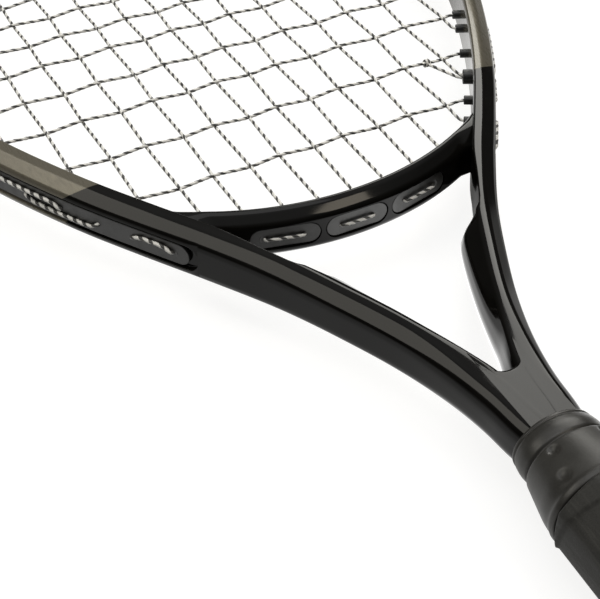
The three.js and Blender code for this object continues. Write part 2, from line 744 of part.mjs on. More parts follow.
// One unbroken main string: up one main, over the head, down the next and round a loop at its foot
function mainStringPath() {
  const points = []
  const end = (k, part) => holeOn(`${part}_${mainRank(k)}`, mainSide(k))
  const startHole = end(0, 'foot')
  points.push(...tieOff(startHole, holeOn(tieHoles.mainLeft, -1), 1, knots.tie_knot_main_left).reverse())
  for (let k = 0; k < mainCount; k++) {
    const run = mainRun(k)
    points.push(...(k % 2 === 0 ? run : run.reverse()))
    if (k === mainCount - 1) break
    if (k % 2 === 0) points.push(...grooveLoop(end(k, 'top'), end(k + 1, 'top'), 1))
    else if (mainRank(k) < bridgeMains) points.push(...bridgeLoop(mainPlace(k), mainPlace(k + 1)))
    else points.push(...grooveLoop(end(k, 'foot'), end(k + 1, 'foot'), 1))
  }
  const lastHole = end(mainCount - 1, 'foot')
  points.push(...tieOff(lastHole, holeOn(tieHoles.mainRight, 1), 1, knots.tie_knot_main_right))
  return points
}

// One unbroken cross string, from its tie-off beside the throat to that near the head's top
function crossStringPath() {
  const lowHole = holeOn(tieHoles.crossLow, 1)
  const points = tieOff(holeOn('cross_0', 1), lowHole, -1, knots.tie_knot_cross_low).reverse()
  crossY.forEach((_, j) => {
    const run = crossRun(j)
    points.push(...(j % 2 === 0 ? run.reverse() : run))
    const side = j % 2 === 0 ? -1 : 1
    if (j === crossY.length - 1) return
    points.push(...grooveLoop(holeOn(`cross_${j}`, side), holeOn(`cross_${j + 1}`, side), -1))
  })
  const lastHole = holeOn(`cross_${crossY.length - 1}`, 1)
  points.push(...tieOff(lastHole, holeOn(tieHoles.crossHigh, 1), -1, knots.tie_knot_cross_high))
  return points
}

// A block that covers one half of the handle, above or below its middle
function halfBlock(sign) {
  const block = new THREE.BoxGeometry(headHalfWidth, racketLength, palletHalfWidth * 2)
  return toSolid(block.translate(0, 0, sign * (palletHalfWidth + seatGap / 2)))
}

// A ring that stands off the pallets' outer faces by a gap
const handleOval = (y, gap) =>
  ovalRing(y, palletHalfWidth + gap, palletHalfDepth + gap, palletSides, palletCornerShare)

function palletSolid(sign) {
  const outer = [palletStartY, palletEndY].map(y => handleOval(y, 0))
  const bore = [
    ovalRing(palletStartY - cutOver, coreHalfWidth + seatGap, coreHalfDepth + seatGap, coreSides),
    ovalRing(coreFlareLowY, coreHalfWidth + seatGap, coreHalfDepth + seatGap, coreSides),
    ovalRing(coreFlareHighY, coreNeckHalfWidth + seatGap, coreNeckHalfDepth + seatGap, coreSides)]
  return toSolid(loft(outer)).subtract(toSolid(loft(bore))).intersect(halfBlock(sign))
}

// The grip tape's outer face climbs round the handle; each turn laps over the one below with a small step
function gripSolid() {
  const rows = gripRowShares.length
  const turns = Math.ceil((gripEndY - gripStartY) / gripPitch + gripLeadTurns + gripTailTurns)
  const total = turns * rows
  const firstY = gripStartY - gripLeadTurns * gripPitch
  const point = (row, column) => {
    const share = gripRowShares[row % rows]
    const lift = share === 0 ? 0 : gripStepHeight * (1 - (share - gripRowShares[1]) / (1 - gripRowShares[1]))
    const y = firstY + gripPitch * (Math.floor(row / rows) + share + column / gripColumns)
    const angle = 2 * Math.PI * column / gripColumns
    const reach = 1 + gripCornerShare * octagonExcess(angle)
    const halfWidth = (palletHalfWidth + gripThickness) * reach + lift
    const halfDepth = (palletHalfDepth + gripThickness) * reach + lift
    return new THREE.Vector3(halfWidth * Math.cos(angle), y, halfDepth * Math.sin(angle))
  }
  const points = []
  for (let row = 0; row < total; row++) for (let c = 0; c < gripColumns; c++) points.push(point(row, c))
  const index = (row, column) =>
    (column === gripColumns ? (row + rows) * gripColumns : row * gripColumns + column)
  const lastRow = total - rows - 1
  const faces = []
  for (let row = 0; row < lastRow; row++) {
    for (let c = 0; c < gripColumns; c++) {
      const [a, b, d, e] = [index(row, c), index(row, c + 1), index(row + 1, c), index(row + 1, c + 1)]
      faces.push(a, b, d, b, e, d)
    }
  }
  const footCentre = points.push(new THREE.Vector3(0, firstY - gripPitch, 0)) - 1
  const headCentre = points.push(new THREE.Vector3(0, point(total, 0).y + gripPitch, 0)) - 1
  const close = (row, centre, flip) => {
    const rim = Array.from({ length: gripColumns }, (_, c) => index(row, c))
    for (let k = rows; k > 0; k--) rim.push(index(row + k, 0))
    rim.forEach((a, k) => {
      const b = rim[(k + 1) % rim.length]
      faces.push(...(flip ? [centre, a, b] : [centre, b, a]))
    })
  }
  close(0, footCentre, false)
  close(lastRow, headCentre, true)
  const reachRings = [gripStartY, gripEndY].map(y => ovalRing(y, headHalfWidth, headHalfWidth, coreSides))
  const bore = [gripStartY - cutOver, gripEndY + cutOver].map(y => handleOval(y, seatGap))
  return toSolid(skin(points, faces)).intersect(toSolid(loft(reachRings))).subtract(toSolid(loft(bore)))
}

// The collar is an oval rubber sleeve, widest at the grip and waisted below its rim
function collarSolid() {
  const outer = collarShares.map(([along, across, height]) => ovalRing(
    lerp(collarStartY, collarEndY, along), collarHalfWidth * across, collarHalfDepth * height, collarSides))
  const bore = [collarStartY - cutOver, collarEndY + cutOver]
    .map(y => ovalRing(y, collarBoreHalfWidth, collarBoreHalfDepth, collarSides))
  return toSolid(loft(outer)).subtract(toSolid(loft(bore)))
}

// The butt cap is a flared cup over the pallets' end, with a small door in its end wall
function capSolid() {
  const depthAt = y => lerp(1, capDepthShare, smoothstep(y, 0, capLength))
  const widthAt = y => lerp(capHalfWidth, palletHalfWidth + capWall, smoothstep(y, capWall, capLength))
  const outer = capRingShares.map((share, k) => {
    const y = capLength * share
    const inset = k === 0 ? capRimRadius : 0
    const halfDepth = Math.max(capHalfDepth * depthAt(y), palletHalfDepth + capWall) - inset
    return ovalRing(y, widthAt(y) - inset, halfDepth, coreSides, 1)
  })
  const cavity = [palletStartY - seatGap, capLength + cutOver].map(y => handleOval(y, seatGap))
  const doorway = [-cutOver, doorThickness + seatGap]
    .map(y => ovalRing(y, doorHalfWidth + seatGap, doorHalfDepth + seatGap, coreSides))
  const passage = [0, palletStartY]
    .map(y => ovalRing(y, doorHalfWidth - capWall, doorHalfDepth - capWall, coreSides))
  return toSolid(loft(outer)).subtract(toSolid(loft(cavity))).subtract(toSolid(loft(doorway)))
    .subtract(toSolid(loft(passage)))
}

const doorRings = [0, doorThickness].map(y => ovalRing(y, doorHalfWidth, doorHalfDepth, coreSides))

// Finishes
const finish = (color, roughness) => new THREE.MeshStandardMaterial({ color, roughness, metalness: 0 })
const lacquer = finish(0x15130f, 0.12)
const nylon = finish(0x1a1a19, 0.45)
const cord = finish(0x9a9a95, 0.4)
const foam = finish(0x8f8b80, 0.8)
const wrap = finish(0x2b2b27, 0.85)
const rubber = finish(0x3a3934, 0.6)

const group = new THREE.Group()
function piece(name, shape, material) {
  const geometry = (shape.isBufferGeometry ? shape : toGeometry(shape)).toNonIndexed()
  geometry.computeVertexNormals()
  const mesh = new THREE.Mesh(geometry, material)
  mesh.name = name
  group.add(mesh)
}

piece('frame', frameSolid(), lacquer)
piece('throat_bridge', bridgeSolid(), lacquer)

const stripStart = grooveStart + plateEndGap
const split = splitDistance()
const halfGap = stripSplitGap / 2
const rightStrip = strip(stripStart, split - halfGap, true, false, 0)
const guard = strip(split + halfGap, outlineLength - split - halfGap, false, false, guardRailHeight)
const leftStrip = strip(outlineLength - split + halfGap, outlineLength - stripStart, false, true, 0)
piece('side_strip_right', rightStrip, nylon)
piece('head_guard', guard, nylon)
piece('side_strip_left', leftStrip, nylon)
const throatNames = ['throat_grommet_left', 'throat_grommet_centre', 'throat_grommet_right']
throatNames.forEach((name, k) => piece(name, throatGrommet(pocketPairs[k]), nylon))

const mainPath = mainStringPath()
const crossPath = crossStringPath()
piece('main_string', cordTube(mainPath, stringRadius, stringSides), cord)
piece('cross_string', cordTube(crossPath, stringRadius, stringSides), cord)
console.log('least gap of the main string to itself, mm', leastGap(mainPath, stringRadius).toFixed(2))
console.log('least gap of the cross string to itself, mm', leastGap(crossPath, stringRadius).toFixed(2))
for (const [name, knot] of Object.entries(knots)) piece(name, knotSolid(knot), cord)

piece('pallet_upper', palletSolid(1), foam)
piece('pallet_lower', palletSolid(-1), foam)
piece('grip_wrap', gripSolid(), wrap)
piece('grip_collar', collarSolid(), rubber)
piece('butt_cap', capSolid(), nylon)
piece('butt_door', loft(doorRings), nylon)

export default group
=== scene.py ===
import json
import math

import bpy
import numpy as np
from mathutils import Matrix, Vector
from numpy.linalg import norm

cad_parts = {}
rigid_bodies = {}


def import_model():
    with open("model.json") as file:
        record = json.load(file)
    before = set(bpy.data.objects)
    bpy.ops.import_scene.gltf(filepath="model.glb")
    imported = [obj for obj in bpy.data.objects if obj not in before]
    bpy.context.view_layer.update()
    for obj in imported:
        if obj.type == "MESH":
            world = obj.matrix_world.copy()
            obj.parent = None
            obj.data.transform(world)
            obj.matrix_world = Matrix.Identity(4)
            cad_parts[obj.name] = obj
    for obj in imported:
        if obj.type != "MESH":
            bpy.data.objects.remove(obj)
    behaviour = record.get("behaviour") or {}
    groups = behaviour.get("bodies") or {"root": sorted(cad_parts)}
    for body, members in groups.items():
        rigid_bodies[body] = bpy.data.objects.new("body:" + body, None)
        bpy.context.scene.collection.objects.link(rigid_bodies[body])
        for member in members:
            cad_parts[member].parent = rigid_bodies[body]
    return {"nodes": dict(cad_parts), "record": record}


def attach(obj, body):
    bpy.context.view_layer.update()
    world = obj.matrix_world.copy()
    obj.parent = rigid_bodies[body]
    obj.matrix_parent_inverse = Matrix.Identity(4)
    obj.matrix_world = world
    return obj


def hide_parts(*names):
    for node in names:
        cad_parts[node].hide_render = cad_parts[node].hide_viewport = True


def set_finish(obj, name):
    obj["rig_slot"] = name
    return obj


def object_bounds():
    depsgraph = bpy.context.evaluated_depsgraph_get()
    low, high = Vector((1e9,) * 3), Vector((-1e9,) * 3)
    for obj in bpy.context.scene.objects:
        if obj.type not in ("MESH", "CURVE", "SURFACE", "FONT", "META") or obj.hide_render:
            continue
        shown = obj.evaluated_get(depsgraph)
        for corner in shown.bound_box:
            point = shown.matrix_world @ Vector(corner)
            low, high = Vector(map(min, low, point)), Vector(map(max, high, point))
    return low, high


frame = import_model()
cad_low, cad_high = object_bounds()
scene = bpy.context.scene

# Lengths are in millimetres here and become metres in each mesh
MM = 0.001

# Camera: its place in metres, the ways to its right, up and forward, and its lens in millimetres
CAMERA_PLACE = (-0.1827, -0.0545, 0.2995)
CAMERA_RIGHT = (0.8945, -0.446, -0.0298)
CAMERA_UP = (0.3074, 0.5654, 0.7653)
CAMERA_FORWARD = (0.3245, 0.6938, -0.6429)
LENS, SENSOR = 99.67, 36
CLIP_NEAR, CLIP_FAR = 0.01, 50

# Frame outline: shares of the head's half width, and of the way from the arms' start to the widest place
LENGTH, HEAD_HALF, HEAD_Y, ARM_START = 590, 114, 456, 186
OUTLINE_SHARES = [
    (0.0842, 0), (0.0947, 0.0296), (0.1035, 0.067), (0.128, 0.122), (0.1667, 0.178), (0.2386, 0.252),
    (0.321, 0.326), (0.421, 0.4), (0.53, 0.474), (0.635, 0.548), (0.727, 0.622), (0.809, 0.696),
    (0.882, 0.77), (0.94, 0.844), (0.982, 0.919)]
HEAD_STEPS, OUTLINE_FINENESS = 7, 60

# Tube: _T is a thickness square to the outline, _DIP a loss of it, _D a half depth; the rest lie along Y
HOOP_T, ARM_T, ARM_END_T, NECK_T = 7.5, 12.2, 10.4, 12
HOOP_D, ARM_D, NECK_D = 9.5, 8.7, 7.6
CROTCH_LOW, CROTCH_HIGH, KINK_LOW, KINK_HIGH, NECK_BLEND = 207, 222, 257.5, 270, 236
WAIST_DIP, WAIST_END = 1.2, 295
# The skin's wall is thickest at FLARE_LOW and the hoop's from FLARE_HIGH on; its section changes more slowly
FLARE_LOW, FLARE_HIGH, FLARE_T, FLARE_DIP = 261.5, 273, 12.3, 0.4
HOOP_LOW, HOOP_HIGH = 254, 300
# Half sections: millimetres in from the outer edge, share of the half depth, softening in millimetres
HOOP_SECTION = [
    (0, 0.2, 0.2), (0, 0.45, 0.3), (0.45, 0.63, 0.8), (4.2, 0.965, 2), (6.75, 1, 0.7), (7.1, 0.97, 0.4),
    (7.5, 0.86, 0.6), (7.5, 0.3, 0.5)]
ARM_SECTION = [
    (0, 0.2, 0.6), (0, 0.42, 1), (0.4, 0.6, 0.9), (3.8, 0.95, 0.8), (5.6, 1, 0.6), (7.2, 0.955, 0.9),
    (20, 0.52, 1.4), (12.3, 0.1, 1.8)]
NECK_SECTION = [
    (0, 0.2, 0.6), (0.1, 0.45, 1), (1.1, 0.74, 1), (3.6, 0.985, 1), (7, 1, 1), (9.6, 1, 1),
    (11.2, 0.74, 1.4), (12, 0.16, 1.8)]
# How far the inner wall holds back the three points before the last, below the waist and in the hoop
ARM_ROOM, HOOP_ROOM = (1.5, 1.2, 0.9), (0.7, 0.4, 0)
ROOM_LOW, ROOM_HIGH = 280, 298
GROOVE_DEPTH, GROOVE_HALF, GROOVE_FLOOR, GROOVE_END, GROOVE_CUT = 1.5, 4.4, 4, 297.5, 0.3
# Places of the skin's rings, closer where the groove opens
RING_STEP, RING_CLEAR = 2.5, 0.8
GROOVE_RINGS = (-0.02, 0.02, 0.15, 0.45, 0.9, 1.5, 2.2, 3.1, 4.4)
# A softened corner's points, and the share of a side that it may take
CORNER_STEPS, CORNER_SHARE = 5, 0.48

# Web between the arms' tops
DECK_LOW, DECK_HIGH, DECK_PLACES = ARM_START + 1, 232, 47
DECK_ACROSS, DECK_FRONT, DECK_ROUND, DECK_EDGE = 0.72, 210.5, 5, 2
DECK_REACH, DECK_COLUMNS, DECK_BACK, DECK_MARGIN, DECK_LEAST, DECK_SINK = 9, 41, 2, 0.4, 1.5, 0.008

# Bridge: its half section goes from the outer edge, at 0, to the inner edge, at 1
BRIDGE_Y, BRIDGE_R, BRIDGE_T, BRIDGE_END_T, BRIDGE_D, BRIDGE_REACH = 299.3, 88, 6.2, 5, 8.4, 64
WEB_X, BRIDGE_END, BRIDGE_RINGS = 42, 60.5, 121
BRIDGE_SECTION = [(0, 0.52, 1.2), (0.1, 0.66, 1), (0.55, 0.95, 1.2), (0.82, 1, 1), (1, 0.82, 1)]
POCKET_HALF, POCKET_END, POCKET_DEPTH, POCKET_CUT_OVER = 3.9, 5, 1.6, 6
TUBE_LINE_START = 40

# Strings
STRING_R, WEAVE = 0.55, 0.61
FIRST_CROSS = 334
MAIN_SHARES = [0.0482, 0.1465, 0.249, 0.356, 0.468, 0.583, 0.702, 0.825]
CROSS_SHARES = [
    0, 0.098, 0.1887, 0.2621, 0.3371, 0.3973, 0.4555, 0.5109, 0.5684, 0.6289, 0.6953, 0.7578, 0.8164, 0.875]
BRIDGE_MAINS = 3
LANE, LANE_RUN, BEND_R, CORNER_DROP = 1.55, 3.4, 0.95, 15
BENDS, LANE_AT_BEND, GROOVE_STRETCH = (0.4, 1), 0.3, 9
KNOT_R, KNOT_PLACE = 1.45, 0.4
COIL_R, COIL_HALF, COIL_TURNS, COIL_POINTS, COIL_CORD_R = 1.0, 1.05, 2.6, 40, 0.46
# A cord's skin: length of a turn, depth of its two lobes, and how far its bends are rounded
TWIST, LOBE, CORD_CUT, BEND_STEPS, CORD_SIDES, CORD_STEP = 3.8, 0.09, 2.4, 9, 10, 0.33
# In the frame's groove the cord is thicker, because nothing pulls its plies together
GROOVE_SWELL, GROOVE_INSET, GROOVE_NEAR, GROOVE_FAR = 0.24, 0.22, 1.1, 2

# Grommets
SEAT = 0.3
PLATE_T, PLATE_HALF, PLATE_GAP, PLATE_STEP, PLATE_ROUND = 0.8, 3.55, 3.4, 3, 0.3
PLATE_CUTS, RAIL_CUTS = (0.15, 0.25), (0.2, 0.35, 0.35, 0.3)
PLATE_END_SHARES, PLATE_END_CLEAR = (0.01, 0.05, 0.13, 0.25, 0.4, 0.6, 0.8, 1), 0.5
BARREL_R, BARREL_PROUD, BORE_R, BARREL_SINK, BARREL_SIDES = 1.5, 2.7, 1.05, 0.1, 20
TIE_R, TIE_BORE, TIE_SHIFT = 2.45, 1.95, 0.8
RAIL_HEIGHT, RAIL_WIDTH, SPLIT_GAP, SPLIT_HOLE = 2.4, 1, 0.6, "cross_9"

# Handle; a corner of 0 leaves an oval round, and one of 1 makes it eight-sided
CORE_X, CORE_Z, CORE_NECK_X, CORE_NECK_Z, CORE_LOW, CORE_SIDES = 9.6, 7.2, 10, 7.2, 160, 64
CORE_FLARE_LOW, CORE_FLARE_HIGH, CORE_NOSE, CORE_NOSE_LENGTH = 168, 184, 196, 10
PALLET_X, PALLET_Z, PALLET_LOW, PALLET_HIGH = 14, 12.2, 5, 162.5
PALLET_CORNER, PALLET_EDGE, PALLET_COLUMNS, PALLET_END_ANGLE = 0.62, 0.6, 49, 0.02
HOLLOW_X, HOLLOW_Z = CORE_X + 0.7, CORE_Z + 0.8
GRIP_T, GRIP_LOW, GRIP_HIGH, GRIP_PITCH, GRIP_STEP, GRIP_CORNER = 2, 16, 162.8, 24, 0.6, 0.5
GRIP_LAP, GRIP_EDGE, GRIP_BORE_GAP, GRIP_COLUMNS = 0.045, 0.45, 0.35, 160
GRIP_ROW_STEP, GRIP_ROW_START = 0.5, 0.3
CAP_LENGTH, CAP_X, CAP_Z, CAP_WALL = 15, 18.2, 16.2, 2
CAP_TAPER, CAP_CORNER, CAP_ROUND, CAP_LIP, CAP_SIDES = 0.8, 0.8, 1.4, 0.4, 96
DOOR_X, DOOR_Z, DOOR_T, DOOR_ROUND = 8.5, 6.5, 2.4, 0.5

# Collar: share of its length, of its half width and of its half depth, softening in millimetres
COLLAR_LOW, COLLAR_HIGH, COLLAR_X, COLLAR_Z = 163.1, 189, 16.6, 14
COLLAR_BORE_X, COLLAR_BORE_Z, COLLAR_SIDES, COLLAR_STEP = 10.9, 8.6, 180, 0.45
COLLAR_PROFILE = [
    (0, 0.93, 0.93, 0.3), (0.012, 0.985, 0.98, 0.4), (0.07, 1, 1, 0.9), (0.11, 0.975, 0.975, 0.6),
    (0.23, 0.957, 0.945, 3), (0.665, 0.792, 0.781, 0.5), (0.68, 0.715, 0.69, 0.2),
    (0.705, 0.71, 0.685, 0.2), (0.725, 0.75, 0.722, 0.4), (0.83, 0.762, 0.732, 1.2),
    (0.93, 0.735, 0.69, 0.6), (0.955, 0.71, 0.665, 0.2), (0.965, 0.725, 0.68, 0.2),
    (0.995, 0.715, 0.67, 0.15), (1, 0.67, 0.62, 0.15)]
# Dimples on each side of the collar's middle, front and back: X, Y and radius
DIMPLES = [(-7.4, 178.0, 1.9), (-10.0, 169.4, 2.1)]
DIMPLE_DEPTH, DIMPLE_NARROW = 1.1, 1.25

# Paint: Y at which taupe begins at mid-depth, how much lower per millimetre of height, and its edge's blur
PAINT_START, PAINT_LEAN, PAINT_BLUR = 344, 0.95, 0.3

# Floor, in metres; reflections see painted light on it in round pools, and a painted shadow pool, each a
# centre and pairs of distance and brightness
FLOOR_HALF, FLOOR_GAP, FLOOR_GLOW = 12, 0.0004, 0.85
# Painted light: in reflections alone the floor glows brighter round the V, and most inside it
PAINTED_LIGHT_ROUND_V = ((0, 0.28, 0), (0.14, 0.85), (0.27, 0.1))
PAINTED_LIGHT_IN_V, PAINTED_LIGHT_IN_V_GAIN = ((0.035, 0.25, 0), (0.035, 1.0), (0.065, 0.0)), 1.8
# Painted shadow of the bridge's joint with the arm, seen in reflections of the floor
PAINTED_SHADOW_POOL = ((0.07, 0.31, 0), (0.034, 0.03), (0.052, 1.0))

# Lamps: the way from their target, width and height in metres, power in watts, colour
LAMP_TARGET, LAMP_DISTANCE = Vector((0, 0.3, 0)), 1.5
SOFTBOXES = {
    "softbox_back": ((0.525, 0.605, 0.6), 0.74, 0.62, 9.0, (1, 0.985, 0.93)),
    "softbox_left": ((-0.68, 0.31, 0.67), 0.75, 0.52, 5.0, (1, 0.96, 0.86)),
    "softbox_top": ((0, 0.05, 1), 0.9, 0.9, 4.2, (1, 1, 1)),
    "softbox_front": ((0.3, -0.54, 0.76), 0.45, 0.3, 3.4, (1, 0.9, 0.74))}


def lerp(a, b, t):
    return a + (b - a) * t


def smooth(x, low, high):
    t = np.clip((x - low) / (high - low), 0, 1)
    return t * t * (3 - 2 * t)


def unit(v):
    return v / norm(v)


def run_along(line):
    return np.concatenate([[0], np.cumsum(norm(np.diff(line, axis=0), axis=1))])


def rounded_edge(radius, steps):
    """Pairs of depth and inset over a quarter circle, from an end face to a side."""
    quarter = np.linspace(0, math.pi / 2, steps)
    return [(radius * (1 - math.cos(angle)), radius * (1 - math.sin(angle))) for angle in quarter]


def catmull(points, per):
    """A smooth curve through points, with a number of steps between each two."""
    points = np.asarray(points, float)
    ends = np.vstack([2 * points[0] - points[1], points, 2 * points[-1] - points[-2]])
    share = np.linspace(0, 1, per, endpoint=False)[:, None]
    out = []
    for k in range(1, len(ends) - 2):
        p0, p1, p2, p3 = ends[k - 1:k + 3]
        d0, d1, d2 = (math.sqrt(norm(b - a)) for a, b in ((p0, p1), (p1, p2), (p2, p3)))
        t1 = ((p1 - p0) / d0 - (p2 - p0) / (d0 + d1) + (p2 - p1) / d1) * d1
        t2 = ((p2 - p1) / d1 - (p3 - p1) / (d1 + d2) + (p3 - p2) / d2) * d1
        square, cube = 3 * (p2 - p1) - 2 * t1 - t2, 2 * (p1 - p2) + t1 + t2
        out.append(p1 + t1 * share + square * share ** 2 + cube * share ** 3)
    return np.vstack(out + [points[-1:]])


def soften(corners, cuts, closed, steps):
    """A polyline with each corner rounded over a cut length."""
    corners = np.asarray(corners, float)
    count = len(corners)
    out = []
    for k, (corner, cut) in enumerate(zip(corners, cuts)):
        if not closed and k in (0, count - 1):
            out.append(corner)
            continue
        before = corners[k - 1] - corner
        after = corners[(k + 1) % count] - corner
        reach = min(cut, CORNER_SHARE * norm(before), CORNER_SHARE * norm(after))
        a, b = corner + unit(before) * reach, corner + unit(after) * reach
        for s in np.linspace(0, 1, steps):
            out.append((1 - s) ** 2 * a + 2 * s * (1 - s) * corner + s * s * b)
    return np.array(out)


def mirrored_section(half):
    """A closed section from its upper half, whose points are place across, height and softening."""
    section = half + [(across, -height, cut) for across, height, cut in reversed(half)]
    return soften([point[:2] for point in section], [point[2] for point in section], True, CORNER_STEPS)


def find(measure, low, high):
    """The place between two at which a measure changes sign."""
    rising = measure(high) > measure(low)
    for _ in range(40):
        middle = (low + high) / 2
        if (measure(middle) > 0) == rising:
            high = middle
        else:
            low = middle
    return (low + high) / 2


def add_object(name, data):
    made = bpy.data.objects.new(name, data)
    scene.collection.objects.link(made)
    return made


def shade(mesh, sharp):
    """Smooth shading whose edges stay sharp over an angle in degrees, or nowhere if it is 0."""
    mesh.polygons.foreach_set("use_smooth", [True] * len(mesh.polygons))
    if sharp:
        mesh.set_sharp_from_angle(angle=math.radians(sharp))


def mesh_object(name, points, faces, sharp=40):
    mesh = bpy.data.meshes.new(name)
    mesh.from_pydata([tuple(p) for p in np.asarray(points) * MM], [], [tuple(f) for f in faces])
    mesh.validate()
    shade(mesh, sharp)
    return add_object(name, mesh)


def loft(rings, closed=False):
    """Points and faces of a skin over rings, with flat ends unless the rings close on themselves."""
    count = len(rings[0])
    points = np.vstack(rings)
    faces = []
    for r in range(len(rings) - (0 if closed else 1)):
        a, b = r * count, (r + 1) % len(rings) * count
        faces += [(a + k, a + (k + 1) % count, b + (k + 1) % count, b + k) for k in range(count)]
    if not closed:
        faces.append(tuple(reversed(range(count))))
        faces.append(tuple(len(points) - count + k for k in range(count)))
    return points, faces


def outward(points, faces):
    """Turns faces over where the skin is inside out."""
    p = np.asarray(points)
    volume = sum(np.dot(p[f[0]], np.cross(p[f[k]], p[f[k + 1]])) for f in faces for k in range(1, len(f) - 1))
    return faces if volume > 0 else [tuple(reversed(f)) for f in faces]


def joined(shells):
    """Several closed skins as one list of points and faces."""
    points, faces, count = [], [], 0
    for shell_points, shell_faces in shells:
        faces += [tuple(count + k for k in face) for face in outward(shell_points, shell_faces)]
        points.append(shell_points)
        count += len(shell_points)
    return np.vstack(points), faces


def even(piece):
    """Flat faces keep flat shading beside rounded corners."""
    modifier = piece.modifiers.new("even", "WEIGHTED_NORMAL")
    modifier.keep_sharp = True
    return piece


def settle(piece, slot, node_name):
    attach(piece, "root")
    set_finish(piece, slot)
    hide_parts(node_name)


# Camera
camera_data = bpy.data.cameras.new("camera")
camera_data.lens = LENS
camera_data.sensor_width = SENSOR
camera_data.sensor_fit = "HORIZONTAL"
camera_data.clip_start, camera_data.clip_end = CLIP_NEAR, CLIP_FAR
camera = add_object("camera", camera_data)
axes = [Vector(CAMERA_RIGHT), Vector(CAMERA_UP), -Vector(CAMERA_FORWARD)]
turn = Matrix([[axis[i] for axis in axes] for i in range(3)]).to_4x4()
camera.matrix_world = Matrix.Translation(CAMERA_PLACE) @ turn
scene.camera = camera


# Outline of the frame, and the tube along it
def outline_points():
    right = [(HEAD_HALF * x, ARM_START + (HEAD_Y - ARM_START) * y) for x, y in OUTLINE_SHARES]
    for k in range(HEAD_STEPS):
        angle = math.pi / 2 * k / HEAD_STEPS
        right.append((HEAD_HALF * math.cos(angle), HEAD_Y + (LENGTH - HEAD_Y) * math.sin(angle)))
    return right + [(0, LENGTH)] + [(-x, y) for x, y in reversed(right)]


edge = catmull(outline_points(), OUTLINE_FINENESS)
edge_run = run_along(edge)
edge_way = np.gradient(edge, edge_run, axis=0)
edge_length = edge_run[-1]


def along_at(distance):
    way = [np.interp(distance, edge_run, edge_way[:, 0]), np.interp(distance, edge_run, edge_way[:, 1]), 0]
    return unit(np.array(way))


def out_at(distance):
    way = along_at(distance)
    return np.array([way[1], -way[0], 0])


def beside(distance, out, height):
    """A point by its distance along the outline, out from it and up."""
    x, y = np.interp(distance, edge_run, edge[:, 0]), np.interp(distance, edge_run, edge[:, 1])
    way = along_at(distance)
    return np.array([x + way[1] * out, y - way[0] * out, height])


def y_at(distance):
    return beside(distance, 0, 0)[1]


def low_thickness(y):
    return lerp(NECK_T, ARM_END_T, smooth(y, CROTCH_LOW, CROTCH_HIGH))


def neck_share(y):
    return 1 - smooth(y, CROTCH_LOW, NECK_BLEND)


def tube_at(distance):
    """Thickness and half depth of the solid's plain tube, to which strings and grommets keep."""
    y = y_at(distance)
    hoop = smooth(y, KINK_LOW, KINK_HIGH)
    arm = lerp(low_thickness(y), ARM_T, smooth(y, CROTCH_HIGH, KINK_LOW))
    tube = HOOP_T - WAIST_DIP * (1 - smooth(y, KINK_HIGH, WAIST_END))
    return lerp(arm, tube, hoop), lerp(lerp(ARM_D, HOOP_D, hoop), NECK_D, neck_share(y))


def flare_at(y):
    """Thickness of the skin at its inner wall, its half depth and its share of the hoop's section."""
    dip = FLARE_DIP * (1 - smooth(y, FLARE_HIGH, WAIST_END))
    arm = lerp(low_thickness(y), FLARE_T, smooth(y, CROTCH_HIGH, FLARE_LOW))
    wall = lerp(arm, HOOP_T - dip, smooth(y, FLARE_LOW, FLARE_HIGH))
    hoop = smooth(y, HOOP_LOW, HOOP_HIGH)
    return wall, lerp(lerp(ARM_D, HOOP_D, hoop), NECK_D, neck_share(y)), hoop


top_at = edge_length / 2
widest_at = find(lambda d: y_at(d) - HEAD_Y, 0, top_at)
groove_start = find(lambda d: y_at(d) - GROOVE_END, 0, widest_at)


def tube_ring(distance):
    y = y_at(distance)
    neck = neck_share(y)
    wall, deep, hoop = flare_at(y)
    half = []
    for points in zip(ARM_SECTION, HOOP_SECTION, NECK_SECTION):
        across, height, cut = (lerp(lerp(a, h, hoop), n, neck) for a, h, n in zip(*points))
        half.append([across, height * deep, cut])
    half[-1][0] = wall
    for point, arm_room, hoop_room in zip(half[-4:], ARM_ROOM, HOOP_ROOM):
        point[0] = min(point[0], wall - lerp(arm_room, hoop_room, smooth(y, ROOM_LOW, ROOM_HIGH)))
    run = min(distance, edge_length - distance) - groove_start
    if run > 0:
        run = min(run, GROOVE_HALF)
        lip = math.sqrt(GROOVE_HALF ** 2 - (GROOVE_HALF - run) ** 2)
        half[0] = [GROOVE_DEPTH, lip * GROOVE_FLOOR / GROOVE_HALF, GROOVE_CUT]
        half[1] = [0, lip, GROOVE_CUT]
    return np.array([beside(distance, -across, z) for across, z in mirrored_section(half)])


def ring_distances():
    marks = [groove_start + offset for offset in GROOVE_RINGS]
    low, high = marks[0] - RING_CLEAR, marks[-1] + RING_CLEAR
    half = sorted([d for d in np.arange(0, top_at, RING_STEP) if not low < d < high] + marks)
    return half + [top_at] + [edge_length - d for d in reversed(half)]


def ring_at(y, half_x, half_z, angle):
    return np.column_stack([half_x * np.cos(angle), np.full(len(angle), float(y)), half_z * np.sin(angle)])


def corner_reach(angle, corner):
    """How far an oval with eight softened corners reaches, as a share of a round one."""
    eighth = np.pi / 4
    offset = angle % eighth
    return 1 + corner * (1 / np.cos(np.minimum(offset, eighth - offset)) - 1)


def oval(y, half_x, half_z, sides, corner=0.0):
    angle = 2 * np.pi * (np.arange(sides) + 0.5) / sides
    reach = corner_reach(angle, corner)
    return ring_at(y, half_x * reach, half_z * reach, angle)


